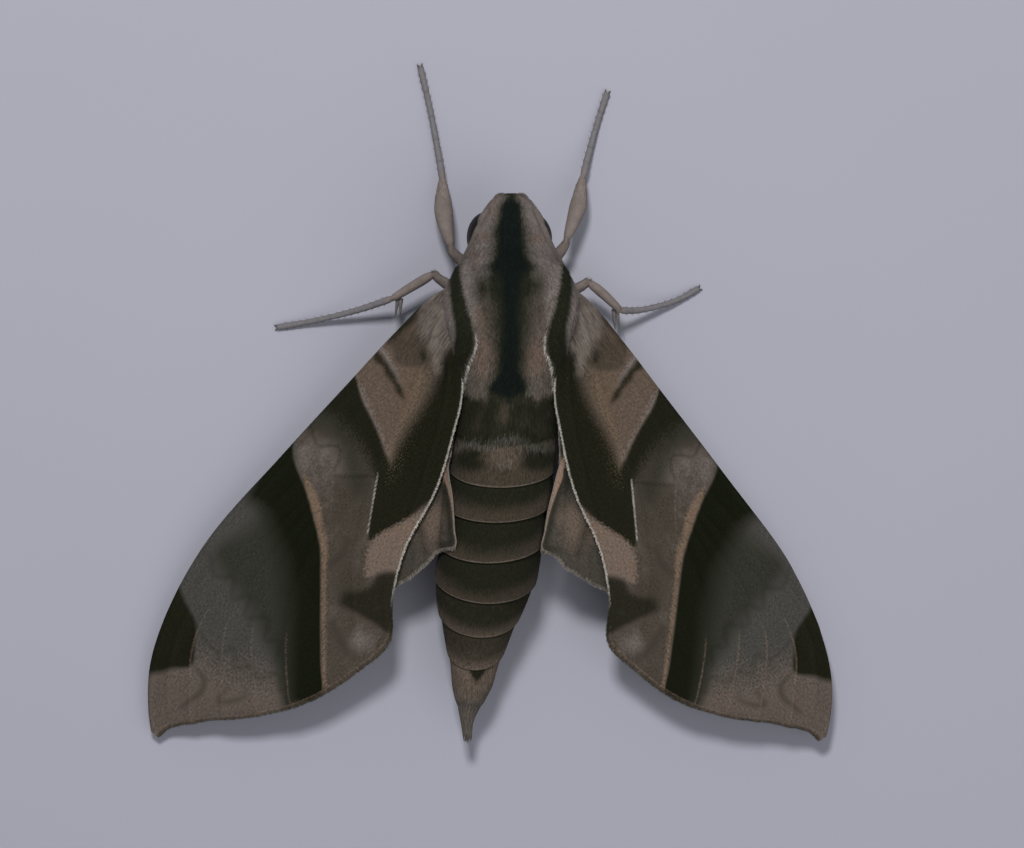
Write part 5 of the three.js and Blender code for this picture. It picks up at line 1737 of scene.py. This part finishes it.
@dataclass
class Leg:
    """A leg in one skin from thigh to foot, with spurs, spines and claws of horn."""

    plan: LegPlan
    rows: int = 150
    around: int = 18
    segments: int = 5
    hip_rise: float = 1.9
    uv_width: float = 0.4
    spike_rows: int = 9
    spike_around: int = 8

    def build(self, tree: CoatTree, material: Material, horn: Material) -> None:
        """Make the skin, its coat and its horny parts."""
        plan = self.plan
        thigh = plan.femur[0]
        hip = (0.62 * thigh[0], thigh[1] - 0.5, thigh[2] + self.hip_rise, thigh[3] + 0.25)
        line = spline(np.array((hip,) + plan.femur + plan.tibia + plan.tarsus), self.rows)
        run = np.concatenate([[0], np.cumsum(np.linalg.norm(np.diff(line[:, :3], axis=0), axis=1))])
        knee, ankle = (run[self.nearest(line, track[0])] for track in (plan.tibia, plan.tarsus))
        radius = line[:, 3].copy()
        for joint in (knee, ankle):
            radius *= 1 - 0.22 * np.exp(-((run - joint) / 0.35) ** 2)
        foot = np.clip((run - ankle) / (run[-1] - ankle), 0, 1)
        beat = np.mod(foot ** 0.85 * self.segments, 1.0)
        swell = np.where(foot > 0, 0.98 + 0.07 * np.sin(np.pi * np.clip(beat, 0, 1)) ** 0.6, 1.0)
        points = tube(line[:, :3], (radius - 0.07) * swell, self.around)
        points[..., 2] = np.maximum(points[..., 2], 0.0)

        def ringed(values: Array) -> Array:
            return np.repeat(values[:, None], self.around, 1)

        marks = {
            "root": points, "lie": lengthwise(line, self.around),
            "lock": ringed(np.interp(run, [0, knee, ankle, run[-1]], [1.5, 1.1, 0.8, 0.35])),
            "foot": ringed(ease(run, ankle - 0.5, ankle + 1.5)),
            "joint": ringed(((beat < 0.07) & (foot > 0) | (np.abs(run - knee) < 0.2)) * 0.3),
        }
        surface = Surface(points, grid_uv(self.rows, self.around + 1, self.uv_width), wrap=True, marks=marks)
        skin = dress(surface.build(f"{plan.name}_skin"), material)
        crowd = (get_mark(skin.data, "root")[:, 2] > 0.28).astype(float)
        coat = Coat(f"coat_{plan.name}", 0.62, 0.13, 0.17, thickness=0.04, lift=0.14, stray=0.25, seed=41)
        keep(coat.grow(skin, crowd, tree, material), "leg")
        forget(skin.data, "lie", "lock")
        keep(skin, "leg", [f"{plan.name}_{part}" for part in ("femur", "tibia", "tarsus")])
        keep(dress(self.horn(line, run, ankle), horn), "tarsus")
        if plan.spur:
            keep(dress(self.spurs(), material), "leg")

    @staticmethod
    def nearest(line: Array, spot: Sequence[float]) -> int:
        """Index of the line's point nearest a spot."""
        return int(np.argmin(np.linalg.norm(line[:, :3] - np.array(spot[:3]), axis=1)))

    def spike(self, start: Array, end: Array, width: float, bend: Array, name: str) -> Thing:
        """A curved spike that tapers from start to end."""
        t = np.linspace(0, 1, self.spike_rows)
        path = start + (end - start) * t[:, None] + bend * np.sin(np.pi * t)[:, None]
        points = tube(path, width * (1 - 0.9 * t ** 1.4), self.spike_around)
        points[..., 2] = np.maximum(points[..., 2], 0.0)
        return Surface(points, grid_uv(self.spike_rows, self.spike_around + 1), wrap=True).build(name)

    def spurs(self) -> Thing:
        """The pair of spurs at the end of the shin, scaled like the leg."""
        start, end = (np.array(p) for p in self.plan.spur)
        across = np.cross(end - start, UP)
        across *= 0.16 / np.linalg.norm(across)
        pair = [self.spike(start + across * sign, end + across * sign * 1.7 - UP * 0.15 * sign, 0.25, UP * 0.12, "spur")
                for sign in (-1, 1)]
        whole = joined(f"{self.plan.name}_spurs", pair)
        roots = np.zeros(len(whole.data.vertices) * 3, np.float32)
        whole.data.vertices.foreach_get("co", roots)
        set_mark(whole.data, "root", (roots.reshape(-1, 3) - GROUND.shift) / MM)
        set_mark(whole.data, "foot", np.full(len(roots) // 3, 0.6))
        set_mark(whole.data, "joint", np.zeros(len(roots) // 3))
        return whole

    def horn(self, line: Array, run: Array, ankle: float) -> Thing:
        """Claws and the rows of short spines under the foot."""
        tip, before = line[-1, :3], line[-6, :3]
        ahead = unit(tip - before)
        across = unit(np.cross(ahead, UP))
        spikes = []
        for sign in (-1, 1):
            start = tip + across * 0.14 * sign
            end = tip + ahead * 0.34 + across * 0.36 * sign - UP * 0.22
            spikes.append(self.spike(start, end, 0.085, ahead * 0.10 + UP * 0.10, "claw"))
        for at in np.arange(ankle + 0.8, run[-1] - 0.6, 0.85):
            k = int(np.searchsorted(run, at))
            way = unit(line[min(k + 1, len(line) - 1), :3] - line[k, :3])
            over = unit(np.cross(way, UP))
            for sign in (-1, 1):
                start = line[k, :3] + over * sign * (line[k, 3] - 0.14)
                end = start + over * sign * 0.26 + way * 0.34 - UP * 0.1
                spikes.append(self.spike(start, end, 0.045, UP * 0.02, "spine"))
        return joined(f"{self.plan.name}_horn", spikes)


@dataclass
class Antenna:
    """Feeler folded back along the shoulder, thick in the middle with a fine hooked tip."""

    track: Track = (
        (1.9, 9.7, 9.5, 0.36), (2.7, 9.45, 10.6, 0.36), (3.5, 7.7, 10.8, 0.42), (4.05, 6.3, 10.3, 0.44),
        (4.7, 5, 9.15, 0.45), (5.5, 3.6, 7.6, 0.47), (6.15, 1.8, 6.7, 0.48), (6.8, -1, 6.2, 0.5), (7.2, -5, 5.85, 0.48),
        (7.15, -9.5, 5.65, 0.4), (6.95, -12.6, 5.2, 0.27), (6.8, -13.3, 4.5, 0.25),
    )
    rings: int = 110
    ring_rows: int = 6
    around: int = 18
    base_swell: tuple[tuple[int, float], ...] = ((0, 1.0), (40, 1.15), (60, 1.3), (74, 0.85), (89, 1.0))
    tip_rows: int = 14
    uv_width: float = 0.4

    def build(self, side: Side, material: Material) -> None:
        """Make the feeler with its many short segments."""
        rows, cols = self.rings * self.ring_rows, self.around
        line = spline(np.array(self.track) * (side.value, 1, 1, 1), rows)
        beat = np.mod(np.linspace(0, self.rings, rows), 1.0)
        radius = line[:, 3] * (0.94 + 0.04 * np.sin(np.pi * beat))
        base, tip = self.base_swell[-1][0] + 1, self.tip_rows
        radius[:base] *= np.interp(np.arange(base), *zip(*self.base_swell))
        radius[-tip:] *= np.linspace(1, 0.3, tip)
        points = tube(line[:, :3], radius, cols)
        joint = np.repeat((beat < 0.12)[:, None] * 0.4, cols, 1)
        surface = Surface(points, grid_uv(rows, cols + 1, self.uv_width), wrap=True,
                          marks={"root": points, "joint": joint, "foot": np.zeros((rows, cols))})
        keep(dress(surface.build(f"antenna_{side.word}_feeler"), material), "antenna", [f"antenna_{side.word}"])


@dataclass
class Palp:
    """Stout palp that guards the face, covered in short scales."""

    track: Track = (
        (1.25, 8.9, 4.8, 0.7), (1.22, 10, 5.6, 0.98), (1.18, 10.65, 7, 1), (1.08, 10.82, 8.6, 1),
        (0.94, 10.75, 9.85, 0.84),
    )

    rows: int = 60
    around: int = 40

    def build(self, side: Side, tree: CoatTree, material: Material) -> None:
        """Make the palp and its coat."""
        rows, cols = self.rows, self.around
        line = spline(np.array(self.track) * (side.value, 1, 1, 1), rows)
        radius = np.maximum(line[:, 3] - 0.10, 0.1)
        ends = np.sin(np.pi / 2 * np.clip(np.minimum(np.arange(rows), np.arange(rows)[::-1]) / 7 + 0.12, 0, 1))
        points = tube(line[:, :3], radius * ends, cols)
        near_middle = (0.45 - np.abs(points[..., 0])) / 0.3
        marks = dict.fromkeys(BodyColours.MARKS, np.full((rows, cols), -FULL))
        marks |= {"root": points, "lie": lengthwise(line, cols), "lock": np.ones((rows, cols)),
                  "pale_zone": np.full((rows, cols), 2.0), "belly": held((6.6 - points[..., 2]) / 1.0),
                  "stripe": held(np.minimum(near_middle, (11.2 - points[..., 1]) / 0.3))}
        surface = Surface(points, grid_uv(rows, cols + 1), wrap=True, marks=marks)
        skin = dress(surface.build(f"palp_{side.word}_skin"), material)
        coat = Coat(f"coat_palp_{side.word}", 0.5, 0.10, 0.12, 0.03, lift=0.15, stray=0.2, seed=51)
        keep(coat.grow(skin, np.ones(len(skin.data.vertices)), tree, material), "head_coat")
        forget(skin.data, "lie", "lock")
        keep(skin, "head_coat", [f"palp_{side.word}"])


@dataclass
class Tongue:
    """Proboscis rolled up like a watch spring below the head."""

    centre: Spot = (0.0, 8.3, 3.6)
    turns: float = 2.6
    core: float = 0.16
    reach: float = 0.72
    rows: int = 150
    around: int = 12

    def build(self, material: Material) -> None:
        """Make the coil, its outer turn running up to the mouth."""
        t = np.linspace(0, 1, self.rows)
        turn = t * self.turns * 2 * np.pi
        radius = self.core + (self.reach - self.core) * t
        path = np.stack([0.10 * (1 - 2 * t), radius * np.cos(turn), radius * np.sin(turn)], 1) + np.array(self.centre)
        thick = 0.07 + 0.09 * t
        points = tube(path, thick * (1 + 0.05 * np.sin(turn * 14)), self.around)
        surface = Surface(points, grid_uv(self.rows, self.around + 1), wrap=True)
        keep(dress(surface.build("proboscis_coil"), material), "tongue", ["proboscis"])


# ---------------- stage


@dataclass
class Studio:
    """Pale floor, soft light and the camera straight above."""

    camera_height: float = 450.0
    camera_over: tuple[float, float] = (0.11, -13.58)
    lens: float = 141.9
    sensor: float = 36.0
    floor_half: float = 0.6
    floor_colour: Colour = (0.38, 0.38, 0.44)
    sky: Colour = (0.9, 0.93, 1.0)
    sky_strength: float = 0.26
    lamps: tuple[tuple, ...] = (("key", (-0.04, 0.20, 0.40), 0.08, 1.35), ("fill", (0.25, -0.25, 0.45), 0.5, 0.9))

    def floor(self) -> None:
        """Plain pale floor."""
        mesh = bpy.data.meshes.new("floor")
        size = self.floor_half
        mesh.from_pydata([(-size, -size, 0), (size, -size, 0), (size, size, 0), (-size, size, 0)], [], [(0, 1, 2, 3)])
        paint = Paint("floor_pale")
        spot = paint.node("ShaderNodeTexCoord", {}, {}, "Object")
        tone = paint.noise(spot, 30.0, 2) * 0.01 + 1.0
        dress(linked("floor", mesh), paint.finish(paint.shade(self.floor_colour, tone), 0.9))

    def light(self, name: str, place: Spot, size: float, power: float) -> None:
        """One soft square lamp aimed at the moth."""
        lamp = bpy.data.lights.new(name, "AREA")
        lamp.shape, lamp.size, lamp.energy = "SQUARE", size, power
        thing = linked(name, lamp)
        thing.location = place
        thing.rotation_mode = "QUATERNION"
        thing.rotation_quaternion = (-Vector(place)).to_track_quat("-Z", "Y")

    def build(self) -> None:
        """Set the floor, lamps, sky and camera."""
        self.floor()
        for lamp in self.lamps:
            self.light(*lamp)
        scene = bpy.context.scene
        scene.world = bpy.data.worlds.new("studio")
        scene.world.use_nodes = True
        sky = scene.world.node_tree.nodes["Background"].inputs
        sky["Color"].default_value = (*self.sky, 1.0)
        sky["Strength"].default_value = self.sky_strength
        scene.view_settings.view_transform = "Standard"
        data = bpy.data.cameras.new("camera")
        data.lens, data.sensor_width = self.lens, self.sensor
        scene.camera = linked("camera", data)
        scene.camera.location = GROUND.place(np.array([*self.camera_over, self.camera_height]))


def main() -> None:
    """Build the moth in order, from the stage to the feelers."""
    logging.basicConfig(level=logging.INFO, format="%(name)s %(message)s")
    Studio().build()
    tree = CoatTree()
    coat = BodyColours().material()
    Body().build(tree, coat)
    eyes = EyeFinish().material()
    limbs = LimbColours().material("leg_scales")
    feelers = LimbColours(scales=(0.150, 0.125, 0.110), dusk=(0.105, 0.086, 0.075)).material("feeler_scales")
    horn = HornFinish("dark_horn", (0.055, 0.036, 0.024), 0.35).material()
    for side in Side:
        Eye().build(side, eyes)
        Palp().build(side, tree, coat)
        Antenna().build(side, feelers)
    Tongue().build(HornFinish("tongue_horn", (0.09, 0.045, 0.02), 0.4).material())
    wing, hind = WingColours().material(), HindwingColours().material()
    for pose in POSES:
        Hindwing().build(pose, tree, hind)
        Forewing().build(pose, tree, wing)
    for plan in LEGS:
        Leg(plan).build(tree, limbs, horn)
    bpy.data.objects.remove(tree.lock)


if __name__ == "__main__":
    main()
